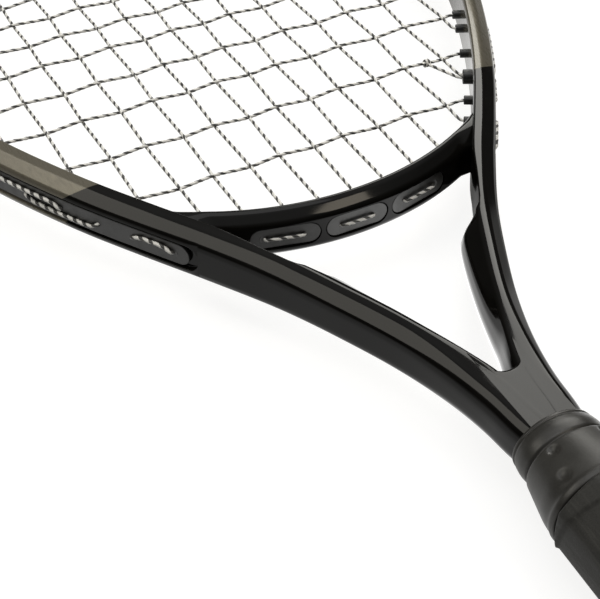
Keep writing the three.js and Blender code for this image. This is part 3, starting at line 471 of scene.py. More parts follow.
def core():
    """The shaft under the collar, from the grip's end to a round nose inside the neck."""
    rings = [oval(y, CORE_X, CORE_Z, CORE_SIDES) for y in (CORE_LOW, CORE_FLARE_LOW)]
    rings += [oval(y, CORE_NECK_X, CORE_NECK_Z, CORE_SIDES) for y in (CORE_FLARE_HIGH, CORE_NOSE)]
    for angle in np.linspace(0, math.pi / 2, 14)[1:-1]:
        place = CORE_NOSE + CORE_NOSE_LENGTH * math.sin(angle)
        rings.append(oval(place, CORE_NECK_X * math.cos(angle), CORE_NECK_Z * math.cos(angle), CORE_SIDES))
    return loft(rings)


def deck():
    """The flat web that joins the arms' tops behind the crotch, with a hollow rounded front."""
    levels = np.linspace(DECK_LOW, DECK_HIGH, DECK_PLACES)
    places = [find(lambda d: y_at(d) - level, 0, widest_at) for level in levels]
    crown = np.array([beside(d, -DECK_ACROSS * tube_at(d)[0], tube_at(d)[1]) for d in places])

    def crown_height(y):
        return np.interp(y, crown[:, 1], crown[:, 2]) - DECK_SINK

    rings = []
    reach = np.interp(DECK_FRONT + DECK_REACH, crown[:, 1], crown[:, 0])
    for x in np.linspace(-reach, reach, DECK_COLUMNS):
        low = np.interp(abs(x), crown[:, 0], crown[:, 1], left=ARM_START - DECK_BACK) + DECK_MARGIN
        hollow = math.sqrt(max(0, DECK_ROUND ** 2 - min(abs(x), DECK_ROUND) ** 2))
        front = max(DECK_FRONT + DECK_ROUND - hollow, low + DECK_LEAST)
        back = min(ARM_START - DECK_BACK, low)
        height = crown_height(front)
        half = [(front - depth, height - inset) for depth, inset in rounded_edge(DECK_EDGE, 9)]
        half += [(y, crown_height(y)) for y in np.linspace(front - DECK_EDGE, back, 14)[1:]]
        rings.append(np.array([(x, y, z) for y, z in half + [(y, -z) for y, z in reversed(half)]]))
    return loft(rings)


frame_shells = [loft([tube_ring(d) for d in ring_distances()]), core(), deck()]
settle(even(mesh_object("frame_shell", *joined(frame_shells), sharp=50)), "frame_lacquer", "frame")


# Throat bridge
def bridge_edges(x):
    """Y of the bridge's inner and outer edge; past WEB_X the outer one keeps its place."""
    level = min(abs(x), WEB_X)
    inner, arc = (BRIDGE_Y + BRIDGE_R - math.sqrt(BRIDGE_R ** 2 - place ** 2) for place in (x, level))
    thick = lerp(BRIDGE_T, BRIDGE_END_T, (level / BRIDGE_REACH) ** 2)
    return inner, arc - thick * BRIDGE_R / math.sqrt(BRIDGE_R ** 2 - level ** 2)


# The middle line of the tube, which the bridge's ends stay above
line_places = np.linspace(groove_start - TUBE_LINE_START, widest_at, 200)
middle_line = np.array([beside(d, -tube_at(d)[0] / 2, 0)[:2] for d in line_places])


def bridge_ring(x):
    inner, outer = bridge_edges(x)
    if abs(x) > WEB_X:
        outer = max(outer, np.interp(abs(x), middle_line[:, 0], middle_line[:, 1]))
    half = [(lerp(outer, inner, share), height * BRIDGE_D, cut) for share, height, cut in BRIDGE_SECTION]
    return np.array([(x, y, z) for y, z in mirrored_section(half)])


main_x = [share * HEAD_HALF for share in MAIN_SHARES]
cross_y = [lerp(FIRST_CROSS, LENGTH, share) for share in CROSS_SHARES]
bridge_x = [-x for x in reversed(main_x[:BRIDGE_MAINS])] + main_x[:BRIDGE_MAINS]
pocket_pairs = [(bridge_x[2 * k], bridge_x[2 * k + 1]) for k in range(BRIDGE_MAINS)]


def pocket_chord(pair):
    start, end = (np.array([x, bridge_edges(x)[1], 0]) for x in pair)
    along = unit(end - start)
    return start, end, along, np.cross([0, 0, 1], along)


def stadium(pair, half_height, end_reach, low, high, rounding=0):
    """A block with round ends over a pair's line, from one depth inside the bridge to another."""
    start, end, along, inward = pocket_chord(pair)
    middle = (start + end) / 2
    half = norm(end - start) / 2 + end_reach - half_height
    depths = [low, high - rounding, high - 0.3 * rounding, high] if rounding else [low, high]
    rings = []
    for depth in depths:
        shrink = 0
        if rounding and depth > high - rounding:
            shrink = rounding * (1 - math.sqrt(max(0, 1 - ((depth - high + rounding) / rounding) ** 2)))
        ring = []
        for sign in (1, -1):
            for angle in np.linspace(-math.pi / 2, math.pi / 2, 17):
                a = sign * (half + (half_height - shrink) * math.cos(angle))
                z = sign * (half_height - shrink) * math.sin(angle)
                ring.append(middle + along * a + inward * -depth + np.array([0, 0, z]))
        rings.append(np.array(ring))
    return loft(rings)


def cut_away(piece, cutter_name, shell, sharp):
    points, faces = shell
    cutter = mesh_object(cutter_name, points, outward(points, faces), sharp=0)
    modifier = piece.modifiers.new("cut", "BOOLEAN")
    modifier.operation = "DIFFERENCE"
    modifier.solver = "EXACT"
    modifier.object = cutter
    graph = bpy.context.evaluated_depsgraph_get()
    result = bpy.data.meshes.new_from_object(piece.evaluated_get(graph))
    piece.modifiers.clear()
    piece.data = result
    bpy.data.objects.remove(cutter)
    shade(result, sharp)


bridge_skin = loft([bridge_ring(x) for x in np.linspace(-BRIDGE_END, BRIDGE_END, BRIDGE_RINGS)])
bridge_shell = mesh_object("bridge_shell", *joined([bridge_skin]), sharp=35)
for number, pair in enumerate(pocket_pairs):
    pocket = stadium(pair, POCKET_HALF, POCKET_END, -POCKET_DEPTH, POCKET_CUT_OVER)
    cut_away(bridge_shell, f"pocket_{number}", pocket, 35)
settle(even(bridge_shell), "frame_lacquer", "throat_bridge")

# Holes along the tube, and how far out plates and strings lie in its groove
plate_outer = SEAT + PLATE_T - GROOVE_DEPTH
string_outer = plate_outer + SEAT + STRING_R
tip_bend = STRING_R + SEAT


def tip_of(d, past=0):
    return beside(d, -(tube_at(d)[0] + BARREL_PROUD + past), 0)


def bend_of(d):
    return tip_of(d, tip_bend)


def bridge_tip(x):
    return np.array([x, bridge_edges(x)[0] + BARREL_PROUD, 0])


def tube_hole(d):
    return {"at": d, "tip": tip_of(d), "axis": out_at(d), "ties": ()}


lowest_side = find(lambda d: tip_of(d)[1] - BRIDGE_Y, 0, widest_at)
holes = {}
for number, x in enumerate(main_x):
    holes[f"top_{number}"] = tube_hole(find(lambda d: bend_of(d)[0] - x, widest_at, top_at))
    if number > BRIDGE_MAINS:
        holes[f"foot_{number}"] = tube_hole(find(lambda d: bend_of(d)[0] - x, lowest_side, widest_at))
for number, y in enumerate(cross_y):
    holes[f"cross_{number}"] = tube_hole(find(lambda d: bend_of(d)[1] - y, lowest_side, top_at))
corner_at = holes[f"foot_{BRIDGE_MAINS + 1}"]["at"] - CORNER_DROP
corner_tip = bridge_tip(main_x[BRIDGE_MAINS])
corner_axis = unit(beside(corner_at, plate_outer, 0) - corner_tip)
holes[f"foot_{BRIDGE_MAINS}"] = {"at": corner_at, "tip": corner_tip, "axis": corner_axis, "ties": ()}
# The hole and side from which each string's end goes to its knot
TIES = {"cross_low": (f"foot_{BRIDGE_MAINS + 2}", 1), "cross_high": (f"top_{BRIDGE_MAINS}", 1),
        "main_right": ("cross_5", 1), "main_left": ("cross_4", -1)}
for key, side in TIES.values():
    holes[key]["ties"] += (side,)


def hole_on(key, side):
    hole = holes[key]
    flip = np.array([side, 1, 1])
    return {"at": hole["at"] if side > 0 else edge_length - hole["at"], "tip": hole["tip"] * flip,
            "axis": hole["axis"] * flip, "tie": side in hole["ties"]}


all_holes = [hole_on(key, side) for key in holes for side in (1, -1)]


def mouth_of(hole):
    reach = np.dot(beside(hole["at"], plate_outer, 0) - hole["tip"], hole["axis"])
    return hole["tip"] + hole["axis"] * reach


def lathe(start, end, profile, sides):
    """A skin round a line, from pairs of distance and radius that close on themselves."""
    axis = unit(end - start)
    across = unit(np.cross(axis, [0, 0, 1]))
    rise = np.cross(axis, across)
    angle = 2 * np.pi * np.arange(sides) / sides
    ring = np.outer(np.cos(angle), across) + np.outer(np.sin(angle), rise)
    return loft([start + axis * distance + radius * ring for distance, radius in profile], closed=True)


def barrel(start, end, radius, bore):
    """A grommet barrel whose tip, at the start, has a rounded rim."""
    long = norm(end - start)
    rim = (radius - bore) / 2
    profile = [(rim * (1 - math.cos(a)), bore + rim + rim * math.sin(a))
               for a in np.linspace(math.pi / 2, -math.pi / 2, 7)]
    return lathe(start, end, [(long, radius)] + profile + [(long, bore)], BARREL_SIDES)


# Grommet strips
def plate_ring(distance, half, rail):
    low, rim, inner = SEAT - GROOVE_DEPTH, plate_outer + rail, half - RAIL_WIDTH
    upper, cuts = [(low, half), (plate_outer, half)], PLATE_CUTS
    if rail:
        upper, cuts = [(low, half), (rim, half), (rim, inner), (plate_outer, inner)], RAIL_CUTS
    section = [(out, -z) for out, z in upper] + upper[::-1]
    flat = soften(section, cuts + cuts[::-1], True, 4)
    return np.array([beside(distance, out, z) for out, z in flat])


def strip(start, end, round_start, round_end, rail):
    """A plate in the groove from one place to another, with a barrel at each hole it passes."""
    places = list(np.linspace(start, end, int((end - start) / PLATE_STEP) + 2))
    rounding = [PLATE_HALF * share for share in PLATE_END_SHARES]
    clear = PLATE_HALF + PLATE_END_CLEAR
    if round_start:
        places = [d for d in places if d > start + clear] + [start + offset for offset in rounding]
    if round_end:
        places = [d for d in places if d < end - clear] + [end - offset for offset in rounding]
    rings = []
    for d in sorted(places):
        run = min(d - start if round_start else PLATE_HALF, end - d if round_end else PLATE_HALF, PLATE_HALF)
        rings.append(plate_ring(d, math.sqrt(PLATE_HALF ** 2 - (PLATE_HALF - run) ** 2), rail))
    shells = [loft(rings)]
    for hole in all_holes:
        if start < hole["at"] < end:
            radius, bore = (TIE_R, TIE_BORE) if hole["tie"] else (BARREL_R, BORE_R)
            shells.append(barrel(hole["tip"], mouth_of(hole) - hole["axis"] * BARREL_SINK, radius, bore))
    return joined(shells)


strip_start = groove_start + PLATE_GAP
split_hole = holes[SPLIT_HOLE]["at"]
split = (split_hole + min(hole["at"] for hole in all_holes if split_hole < hole["at"] < top_at)) / 2
half_gap = SPLIT_GAP / 2
strips = {
    "side_strip_right": (strip_start, split - half_gap, True, False, 0),
    "head_guard": (split + half_gap, edge_length - split - half_gap, False, False, RAIL_HEIGHT),
    "side_strip_left": (edge_length - split + half_gap, edge_length - strip_start, False, True, 0)}
for name, values in strips.items():
    settle(even(mesh_object(f"detailed_{name}", *strip(*values), sharp=50)), "grommet_nylon", name)


def throat_grommet(pair):
    low = SEAT - POCKET_DEPTH
    shells = [stadium(pair, POCKET_HALF - SEAT, POCKET_END - SEAT, low, low + PLATE_T, PLATE_ROUND)]
    for x in pair:
        end = np.array([x, bridge_edges(x)[1] + POCKET_DEPTH - PLATE_T - BARREL_SINK, 0])
        shells.append(barrel(bridge_tip(x), end, BARREL_R, BORE_R))
    return joined(shells)


for name, pair in zip(("left", "centre", "right"), pocket_pairs):
    piece = even(mesh_object(f"detailed_throat_grommet_{name}", *throat_grommet(pair), sharp=50))
    settle(piece, "grommet_nylon", f"throat_grommet_{name}")


# String paths
def out_of_hole(hole, lane, towards):
    """Points from a hole's tip into a lane of the groove, and where along the tube they end."""
    way = 1 if towards > hole["at"] else -1
    offset = TIE_SHIFT * way if hole["tie"] else 0
    shift = along_at(hole["at"]) * offset
    start = hole["at"] + offset
    points = [hole["tip"] + shift - hole["axis"] * tip_bend, mouth_of(hole) + shift]
    for share in BENDS:
        angle = share * math.pi / 2
        points.append(beside(start + way * BEND_R * (1 - math.cos(angle)),
                             plate_outer + (string_outer - plate_outer) * math.sin(angle),
                             lane * LANE * share * LANE_AT_BEND))
    end = start + way * min(LANE_RUN, abs(towards - start) / 2)
    return points + [beside(end, string_outer, lane * LANE)], end


def groove_loop(start, end, lane):
    first, a = out_of_hole(start, lane, end["at"])
    second, b = out_of_hole(end, lane, start["at"])
    steps = max(1, math.ceil(abs(b - a) / GROOVE_STRETCH))
    between = [beside(lerp(a, b, (k + 1) / steps), string_outer, lane * LANE) for k in range(steps - 1)]
    return first + between + second[::-1]


def bridge_loop(x1, x2):
    start, end, along, inward = pocket_chord((x1, x2))
    surface = (POCKET_DEPTH - SEAT - PLATE_T) / abs(inward[1])
    drop = inward * math.copysign(1, inward[1]) * tip_bend

    def side(hole, sign):
        mouth = hole + [0, surface, 0]
        bends = [mouth + along * sign * BEND_R * (1 - math.cos(angle)) - drop * math.sin(angle)
                 for angle in (share * math.pi / 2 for share in BENDS)]
        return [bridge_tip(hole[0]), mouth] + bends

    return side(start, 1) + side(end, -1)[::-1]


main_count = 2 * len(main_x)


def weave(main, cross):
    return WEAVE if (main + cross) % 2 == 0 else -WEAVE


def rank(k):
    """A main's number counted from the middle, which the holes are named by."""
    return len(main_x) - 1 - k if k < len(main_x) else k - len(main_x)


def main_side(k):
    return -1 if k < len(main_x) else 1


def main_place(k):
    return main_side(k) * main_x[rank(k)]


def main_span(k):
    foot = bridge_tip(main_x[rank(k)]) if rank(k) < BRIDGE_MAINS else holes[f"foot_{rank(k)}"]["tip"]
    return foot[1], holes[f"top_{rank(k)}"]["tip"][1]


def main_run(k):
    low, high = main_span(k)
    return [np.array([main_place(k), y, weave(k, j)]) for j, y in enumerate(cross_y) if low < y < high]


def cross_run(j):
    reach = holes[f"cross_{j}"]["tip"][0]
    return [np.array([main_place(k), cross_y[j], -weave(k, j)]) for k in range(main_count)
            if abs(main_place(k)) < reach and main_span(k)[0] < cross_y[j] < main_span(k)[1]]


def knot_on(a, b):
    return {"middle": lerp(a, b, KNOT_PLACE), "way": unit(b - a)}


outermost_foot = edge_length - holes[f"foot_{len(main_x) - 1}"]["at"]
knots = {
    "tie_knot_main_left": knot_on(bend_of(outermost_foot), main_run(0)[0]),
    "tie_knot_main_right": knot_on(*main_run(main_count - 1)[:2]),
    "tie_knot_cross_low": knot_on(*cross_run(1)[::-1][:2]),
    "tie_knot_cross_high": knot_on(*cross_run(len(cross_y) - 1)[::-1][:2])}


def tie_off(start, name, lane):
    """From a string's last hole through the groove to its tie hole, and on to the knot."""
    knot = knots[f"tie_knot_{name}"]
    loop = groove_loop(start, hole_on(*TIES[name]), lane)
    away = loop[-1] - knot["middle"]
    away = unit(away - knot["way"] * np.dot(away, knot["way"]))
    return loop + [knot["middle"] + away * (KNOT_R - STRING_R / 2)]


def main_path():
    def end(k, part):
        return hole_on(f"{part}_{rank(k)}", main_side(k))

    points = tie_off(end(0, "foot"), "main_left", 1)[::-1]
    for k in range(main_count):
        points += main_run(k) if k % 2 == 0 else main_run(k)[::-1]
        if k == main_count - 1:
            break
        if k % 2 == 0:
            points += groove_loop(end(k, "top"), end(k + 1, "top"), 1)
        elif rank(k) < BRIDGE_MAINS:
            points += bridge_loop(main_place(k), main_place(k + 1))
        else:
            points += groove_loop(end(k, "foot"), end(k + 1, "foot"), 1)
    return points + tie_off(end(main_count - 1, "foot"), "main_right", 1)


def cross_path():
    points = tie_off(hole_on("cross_0", 1), "cross_low", -1)[::-1]
    last = len(cross_y) - 1
    for j in range(last + 1):
        points += cross_run(j)[::-1] if j % 2 == 0 else cross_run(j)
        side = -1 if j % 2 == 0 else 1
        if j < last:
            points += groove_loop(hole_on(f"cross_{j}", side), hole_on(f"cross_{j + 1}", side), -1)
    return points + tie_off(hole_on(f"cross_{last}", 1), "cross_high", -1)


# Cords
def groove_share(line):
    """For each point its share in the frame's groove, and the way inward from the outline."""
    nearest = np.array([np.argmin(((edge - point[:2]) ** 2).sum(1)) for point in line])
    gap = norm(edge[nearest] - line[:, :2], axis=1)
    inward = np.column_stack([-edge_way[nearest, 1], edge_way[nearest, 0], np.zeros(len(line))])
    return 1 - np.array([smooth(value, GROOVE_NEAR, GROOVE_FAR) for value in gap]), inward


def outward_cord(points, faces):
    """What outward does, judged by the first face alone, because a cord has very many."""
    centre = points[:CORD_SIDES].mean(0)
    a, b, c = (points[i] for i in faces[0][:3])
    return faces if np.dot(np.cross(b - a, c - a), a - centre) > 0 else [tuple(reversed(f)) for f in faces]


def add_twist_map(piece, places):
    """UVs that carry the share of a turn round the cord and the number of turns along it."""
    layer = piece.data.uv_layers.new(name="twist")
    corners = np.array([loop.vertex_index for loop in piece.data.loops])
    u = (corners % CORD_SIDES) / CORD_SIDES
    v = places[corners // CORD_SIDES] / TWIST
    for polygon in piece.data.polygons:
        if polygon.loop_total == 4:
            corner = slice(polygon.loop_start, polygon.loop_start + 4)
            if u[corner].max() - u[corner].min() > 0.5:
                u[corner] = np.where(u[corner] < 0.5, u[corner] + 1, u[corner])
    layer.data.foreach_set("uv", np.column_stack([u, v]).ravel())


def cord(name, path, radius):
    """A two-ply cord along a path."""
    dense = soften(path, [CORD_CUT] * len(path), False, BEND_STEPS)
    run = run_along(dense)
    places = np.linspace(0, run[-1], int(run[-1] / CORD_STEP) + 1)
    line = np.column_stack([np.interp(places, run, dense[:, i]) for i in range(3)])
    bold, inward = groove_share(line)
    line = line + (inward.T * bold * GROOVE_INSET).T
    ways = np.gradient(line, axis=0)
    ways /= norm(ways, axis=1)[:, None]
    across = unit(np.cross([0.1, 0.05, 1], ways[0]))
    sides = np.empty_like(line)
    for k, way in enumerate(ways):
        across = unit(across - way * np.dot(across, way))
        sides[k] = across
    rises = np.cross(ways, sides)
    angle = 2 * np.pi * np.arange(CORD_SIDES) / CORD_SIDES
    swell = radius * (1 - LOBE + LOBE * np.cos(2 * (angle[None] - 2 * np.pi * places[:, None] / TWIST)))
    swell = swell * (1 + GROOVE_SWELL * bold)[:, None]
    rings = (line[:, None] + (swell * np.cos(angle))[..., None] * sides[:, None]
             + (swell * np.sin(angle))[..., None] * rises[:, None])
    points, faces = loft(list(rings))
    piece = mesh_object(name, points, outward_cord(points, faces), sharp=0)
    add_twist_map(piece, places)
    return piece


def coil(knot):
    """The middle line of the cord that is wound round a string's end."""
    across = unit(np.cross(knot["way"], [0, 0, 1]))
    rise = np.cross(knot["way"], across)
    points = []
    for share in np.linspace(0, 1, COIL_POINTS):
        angle = 2 * math.pi * COIL_TURNS * share
        middle = knot["middle"] + knot["way"] * lerp(-COIL_HALF, COIL_HALF, share)
        points.append(middle + COIL_R * (across * math.cos(angle) + rise * math.sin(angle)))
    return points


settle(cord("main_string_twisted", main_path(), STRING_R), "string", "main_string")
settle(cord("cross_string_twisted", cross_path(), STRING_R), "string", "cross_string")
for name, knot in knots.items():
    settle(cord(f"coiled_{name}", coil(knot), COIL_CORD_R), "string", name)


# Handle
def pallet(sign):
    """One half of the handle's foam, with a hollow for the shaft."""
    angle = np.linspace(PALLET_END_ANGLE, math.pi - PALLET_END_ANGLE, PALLET_COLUMNS)
    reach = corner_reach(angle, PALLET_CORNER)
    rings = []
    for y in (PALLET_LOW, PALLET_LOW + PALLET_EDGE, PALLET_HIGH - PALLET_EDGE, PALLET_HIGH):
        inset = PALLET_EDGE if y in (PALLET_LOW, PALLET_HIGH) else 0
        outer = ring_at(y, (PALLET_X - inset) * reach, (PALLET_Z - inset) * reach, angle)
        inner = ring_at(y, HOLLOW_X, HOLLOW_Z, angle[::-1])
        rings.append(np.vstack([outer, inner]) * [1, 1, sign] + [0, 0, sign * SEAT / 2])
    return joined([loft(rings)])


for name, sign in (("pallet_upper", 1), ("pallet_lower", -1)):
    settle(mesh_object(f"foam_{name}", *pallet(sign)), "handle_foam", name)


def grip():
    """The wound tape: each turn rises over the one before in a short lap and thins out again."""
    angle = 2 * np.pi * np.arange(GRIP_COLUMNS) / GRIP_COLUMNS
    reach = corner_reach(angle, GRIP_CORNER)
    first = GRIP_LOW - 1.5 * GRIP_PITCH
    between = np.arange(GRIP_LOW + GRIP_ROW_START, GRIP_HIGH - GRIP_ROW_START, GRIP_ROW_STEP)
    rings = []
    for y in [GRIP_LOW, *between, GRIP_HIGH]:
        share = ((y - first) / GRIP_PITCH - angle / (2 * np.pi)) % 1
        fall = 1 - (share - GRIP_LAP) / (1 - GRIP_LAP)
        lift = GRIP_STEP * np.where(share < GRIP_LAP, smooth(share, 0, GRIP_LAP), fall)
        inset = GRIP_EDGE if y in (GRIP_LOW, GRIP_HIGH) else 0
        half_x, half_z = ((half + GRIP_T) * reach + lift - inset for half in (PALLET_X, PALLET_Z))
        rings.append(ring_at(y, half_x, half_z, angle))
    bore_x, bore_z = ((half + GRIP_BORE_GAP) * reach for half in (PALLET_X, PALLET_Z))
    inner = [ring_at(y, bore_x, bore_z, angle) for y in (GRIP_HIGH, GRIP_LOW)]
    return joined([loft(rings + inner, closed=True)])


settle(mesh_object("wound_grip_tape", *grip(), sharp=60), "grip_wrap", "grip_wrap")


def collar():
    corners = [(lerp(COLLAR_LOW, COLLAR_HIGH, along), COLLAR_X * wide, COLLAR_Z * deep)
               for along, wide, deep, _ in COLLAR_PROFILE]
    profile = soften(corners, [cut for *_, cut in COLLAR_PROFILE], False, CORNER_STEPS)
    fine = [profile[0]]
    for a, b in zip(profile, profile[1:]):
        steps = max(1, int(norm(b - a) / COLLAR_STEP))
        fine += [lerp(a, b, (k + 1) / steps) for k in range(steps)]
    rings = []
    for y, half_x, half_z in fine:
        ring = oval(y, half_x, half_z, COLLAR_SIDES)
        for dimple_x, dimple_y, radius in DIMPLES:
            for side in (1, -1):
                gap = np.hypot((ring[:, 0] - side * dimple_x) * DIMPLE_NARROW, y - dimple_y)
                dent = DIMPLE_DEPTH * np.clip(1 - (gap / radius) ** 2, 0, 1)
                ring[:, 2] *= 1 - dent / half_z
        rings.append(ring)
    inner = [oval(y, COLLAR_BORE_X, COLLAR_BORE_Z, COLLAR_SIDES) for y in (COLLAR_HIGH, COLLAR_LOW)]
    return joined([loft(rings + inner, closed=True)])


settle(mesh_object("collar_sleeve", *collar(), sharp=50), "collar_rubber", "grip_collar")


def cap():
    def ring(y, inset=0.0):
        wide = lerp(CAP_X, PALLET_X + CAP_WALL, smooth(y, CAP_WALL, CAP_LENGTH))
        deep = max(CAP_Z * lerp(1, CAP_TAPER, smooth(y, 0, CAP_LENGTH)), PALLET_Z + CAP_WALL)
        return oval(y, wide - inset, deep - inset, CAP_SIDES, CAP_CORNER)

    def bore(y, half_x, half_z, gap, corner=0.0):
        return oval(y, half_x + gap, half_z + gap, CAP_SIDES, corner)

    rings = [bore(0, DOOR_X, DOOR_Z, SEAT)]
    rings += [ring(depth, inset) for depth, inset in rounded_edge(CAP_ROUND, 8)]
    rings += [ring(y) for y in np.linspace(CAP_WALL, CAP_LENGTH - CAP_LIP, 22)]
    rings.append(ring(CAP_LENGTH, CAP_LIP))
    rings += [bore(y, PALLET_X, PALLET_Z, SEAT, PALLET_CORNER) for y in (CAP_LENGTH, PALLET_LOW - SEAT)]
    rings += [bore(y, DOOR_X, DOOR_Z, -CAP_WALL) for y in (PALLET_LOW - SEAT, DOOR_T + SEAT)]
    rings.append(bore(DOOR_T + SEAT, DOOR_X, DOOR_Z, SEAT))
    return joined([loft(rings, closed=True)])


settle(mesh_object("moulded_butt_cap", *cap()), "cap_plastic", "butt_cap")


def door():
    profile = rounded_edge(DOOR_ROUND, 6) + [(DOOR_T, 0)]
    return joined([loft([oval(y, DOOR_X - inset, DOOR_Z - inset, CAP_SIDES) for y, inset in profile])])


settle(mesh_object("moulded_butt_door", *door()), "cap_plastic", "butt_door")


# Materials
def material(name, **values):
    """A material with constants on its shader; an underscore stands for a space in a socket's name."""
    made = bpy.data.materials.new(name)
    made.use_nodes = True
    tree = made.node_tree
    shader = tree.nodes["Principled BSDF"]
    for socket, value in values.items():
        shader.inputs[socket.replace("_", " ")].default_value = value
    return made, tree, shader


def feed(tree, shader, **outputs):
    for socket, output in outputs.items():
        tree.links.new(output, shader.inputs[socket.replace("_", " ")])


def node(tree, kind, inputs=None, **settings):
    made = tree.nodes.new(kind)
    for key, value in settings.items():
        setattr(made, key, value)
    for key, value in (inputs or {}).items():
        if isinstance(value, bpy.types.NodeSocket):
            tree.links.new(value, made.inputs[key])
        else:
            made.inputs[key].default_value = value
    return made


def math_node(tree, operation, a, b=0.0, c=0.0):
    return node(tree, "ShaderNodeMath", {0: a, 1: b, 2: c}, operation=operation).outputs[0]


def noise(tree, place, scale, detail=2.0, roughness=0.5, stretch=None):
    if stretch:
        place = node(tree, "ShaderNodeMapping", {"Vector": place, "Scale": stretch}).outputs[0]
    inputs = {"Vector": place, "Scale": scale, "Detail": detail, "Roughness": roughness}
    return node(tree, "ShaderNodeTexNoise", inputs).outputs[0]


def ramp(tree, value, *stops):
    """A value through a ramp of places, each with a colour or a grey."""
    made = node(tree, "ShaderNodeValToRGB", {0: value})
    elements = made.color_ramp.elements
    while len(elements) < len(stops):
        elements.new(0.5)
    for element, (place, color) in zip(elements, stops):
        element.position = place
        element.color = (*color, 1) if isinstance(color, tuple) else (color, color, color, 1)
    return made.outputs[0]


def mix(tree, share, a, b):
    return node(tree, "ShaderNodeMix", {0: share, 6: a, 7: b}, data_type="RGBA").outputs[2]


def bump(tree, shader, height, strength, distance):
    made = node(tree, "ShaderNodeBump", {"Height": height, "Strength": strength, "Distance": distance})
    feed(tree, shader, Normal=made.outputs[0])


def place_of(tree):
    return node(tree, "ShaderNodeTexCoord").outputs["Object"]


def lacquer():
    made, tree, shader = material("lacquer", Specular_IOR_Level=0.0, Coat_Weight=1.0, Coat_Roughness=0.08,
                                  Coat_IOR=1.25)
    place = place_of(tree)
    parts = node(tree, "ShaderNodeSeparateXYZ", {0: place})
    height = math_node(tree, "ABSOLUTE", parts.outputs["Z"])
    line = math_node(tree, "MULTIPLY_ADD", height, PAINT_LEAN, parts.outputs["Y"])
    past = math_node(tree, "MULTIPLY_ADD", line, 1 / MM, -PAINT_START)
    painted = ramp(tree, past, (0, 0.0), (PAINT_BLUR, 1.0))
    flake = noise(tree, place, 9000, 1)
    cloud = noise(tree, place, 60, 3)
    scuff = noise(tree, place, 900, 4, 0.7, (1, 0.12, 1))
    black = ramp(tree, cloud, (0.3, (0.0028, 0.0026, 0.0021)), (0.7, (0.005, 0.0046, 0.0038)))
    taupe = mix(tree, flake, (0.088, 0.08, 0.061, 1), (0.155, 0.142, 0.11, 1))
    feed(tree, shader, Base_Color=mix(tree, painted, black, taupe),
         Roughness=ramp(tree, scuff, (0.4, 0.24), (0.75, 0.42)),
         Metallic=math_node(tree, "MULTIPLY", painted, 0.25))
    bump(tree, shader, noise(tree, place, 220, 2), 0.02, 0.0004)
    return made


def nylon():
    made, tree, shader = material("nylon", Specular_IOR_Level=0.5)
    place = place_of(tree)
    grain = noise(tree, place, 3500, 3, 0.6)
    base = ramp(tree, grain, (0.3, (0.008, 0.008, 0.0075)), (0.75, (0.02, 0.02, 0.018)))
    feed(tree, shader, Base_Color=base,
         Roughness=ramp(tree, noise(tree, place, 400, 3), (0.3, 0.3), (0.7, 0.45)))
    bump(tree, shader, grain, 0.25, 0.00005)
    return made


def twisted_cord():
    made, tree, shader = material("twisted_cord", Specular_IOR_Level=0.45, Roughness=0.35)
    parts = node(tree, "ShaderNodeSeparateXYZ", {0: node(tree, "ShaderNodeUVMap", uv_map="twist").outputs[0]})
    phase = math_node(tree, "SUBTRACT", parts.outputs["X"], parts.outputs["Y"])
    ragged = math_node(tree, "MULTIPLY_ADD", noise(tree, place_of(tree), 420, 2), 0.45, phase)
    ply = math_node(tree, "FRACT", math_node(tree, "ADD", ragged, 0.02))
    fibres = math_node(tree, "MULTIPLY", phase, 7)
    fibre = math_node(tree, "FRACT", fibres)
    light = mix(tree, fibre, (0.66, 0.65, 0.61, 1), (0.9, 0.89, 0.85, 1))
    dark = mix(tree, fibre, (0.014, 0.014, 0.013, 1), (0.075, 0.073, 0.068, 1))
    share = ramp(tree, ply, (0, 0.0), (0.05, 1.0), (0.56, 1.0), (0.62, 0.0))
    feed(tree, shader, Base_Color=mix(tree, share, dark, light))
    bump(tree, shader, math_node(tree, "PINGPONG", fibres, 0.5), 0.4, 0.00005)
    return made


def tape():
    made, tree, shader = material("tape", Specular_IOR_Level=0.25)
    place = place_of(tree)
    streak = noise(tree, place, 500, 3, 0.6, (1.4, 0.1, 1.4))
    grain = noise(tree, place, 2500, 3, 0.6)
    base = ramp(tree, streak, (0.35, (0.018, 0.0175, 0.0145)), (0.6, (0.03, 0.029, 0.025)),
                (0.75, (0.055, 0.054, 0.047)))
    feed(tree, shader, Base_Color=mix(tree, 0.25, base, ramp(tree, grain, (0.3, 0.008), (0.7, 0.05))),
         Roughness=ramp(tree, streak, (0.3, 0.5), (0.7, 0.68)))
    bump(tree, shader, grain, 0.35, 0.00012)
    return made


def rubber():
    made, tree, shader = material("rubber", Specular_IOR_Level=0.4)
    place = place_of(tree)
    grain = noise(tree, place, 1800, 3, 0.6)
    cloud = noise(tree, place, 120, 3, 0.6)
    base = ramp(tree, cloud, (0.3, (0.02, 0.0185, 0.015)), (0.7, (0.032, 0.0305, 0.026)))
    feed(tree, shader, Base_Color=mix(tree, 0.2, base, ramp(tree, grain, (0.3, 0.01), (0.7, 0.04))),
         Roughness=ramp(tree, cloud, (0.3, 0.34), (0.7, 0.44)))
    bump(tree, shader, grain, 0.2, 0.00008)
    return made


def foam():
    made, tree, shader = material("foam", Specular_IOR_Level=0.2, Roughness=0.85)
    inputs = {"Vector": place_of(tree), "Scale": 1400.0}
    cells = node(tree, "ShaderNodeTexVoronoi", inputs).outputs["Distance"]
    feed(tree, shader, Base_Color=ramp(tree, cells, (0.1, (0.17, 0.16, 0.14)), (0.6, (0.33, 0.32, 0.29))))
    bump(tree, shader, cells, 0.5, 0.0002)
    return made


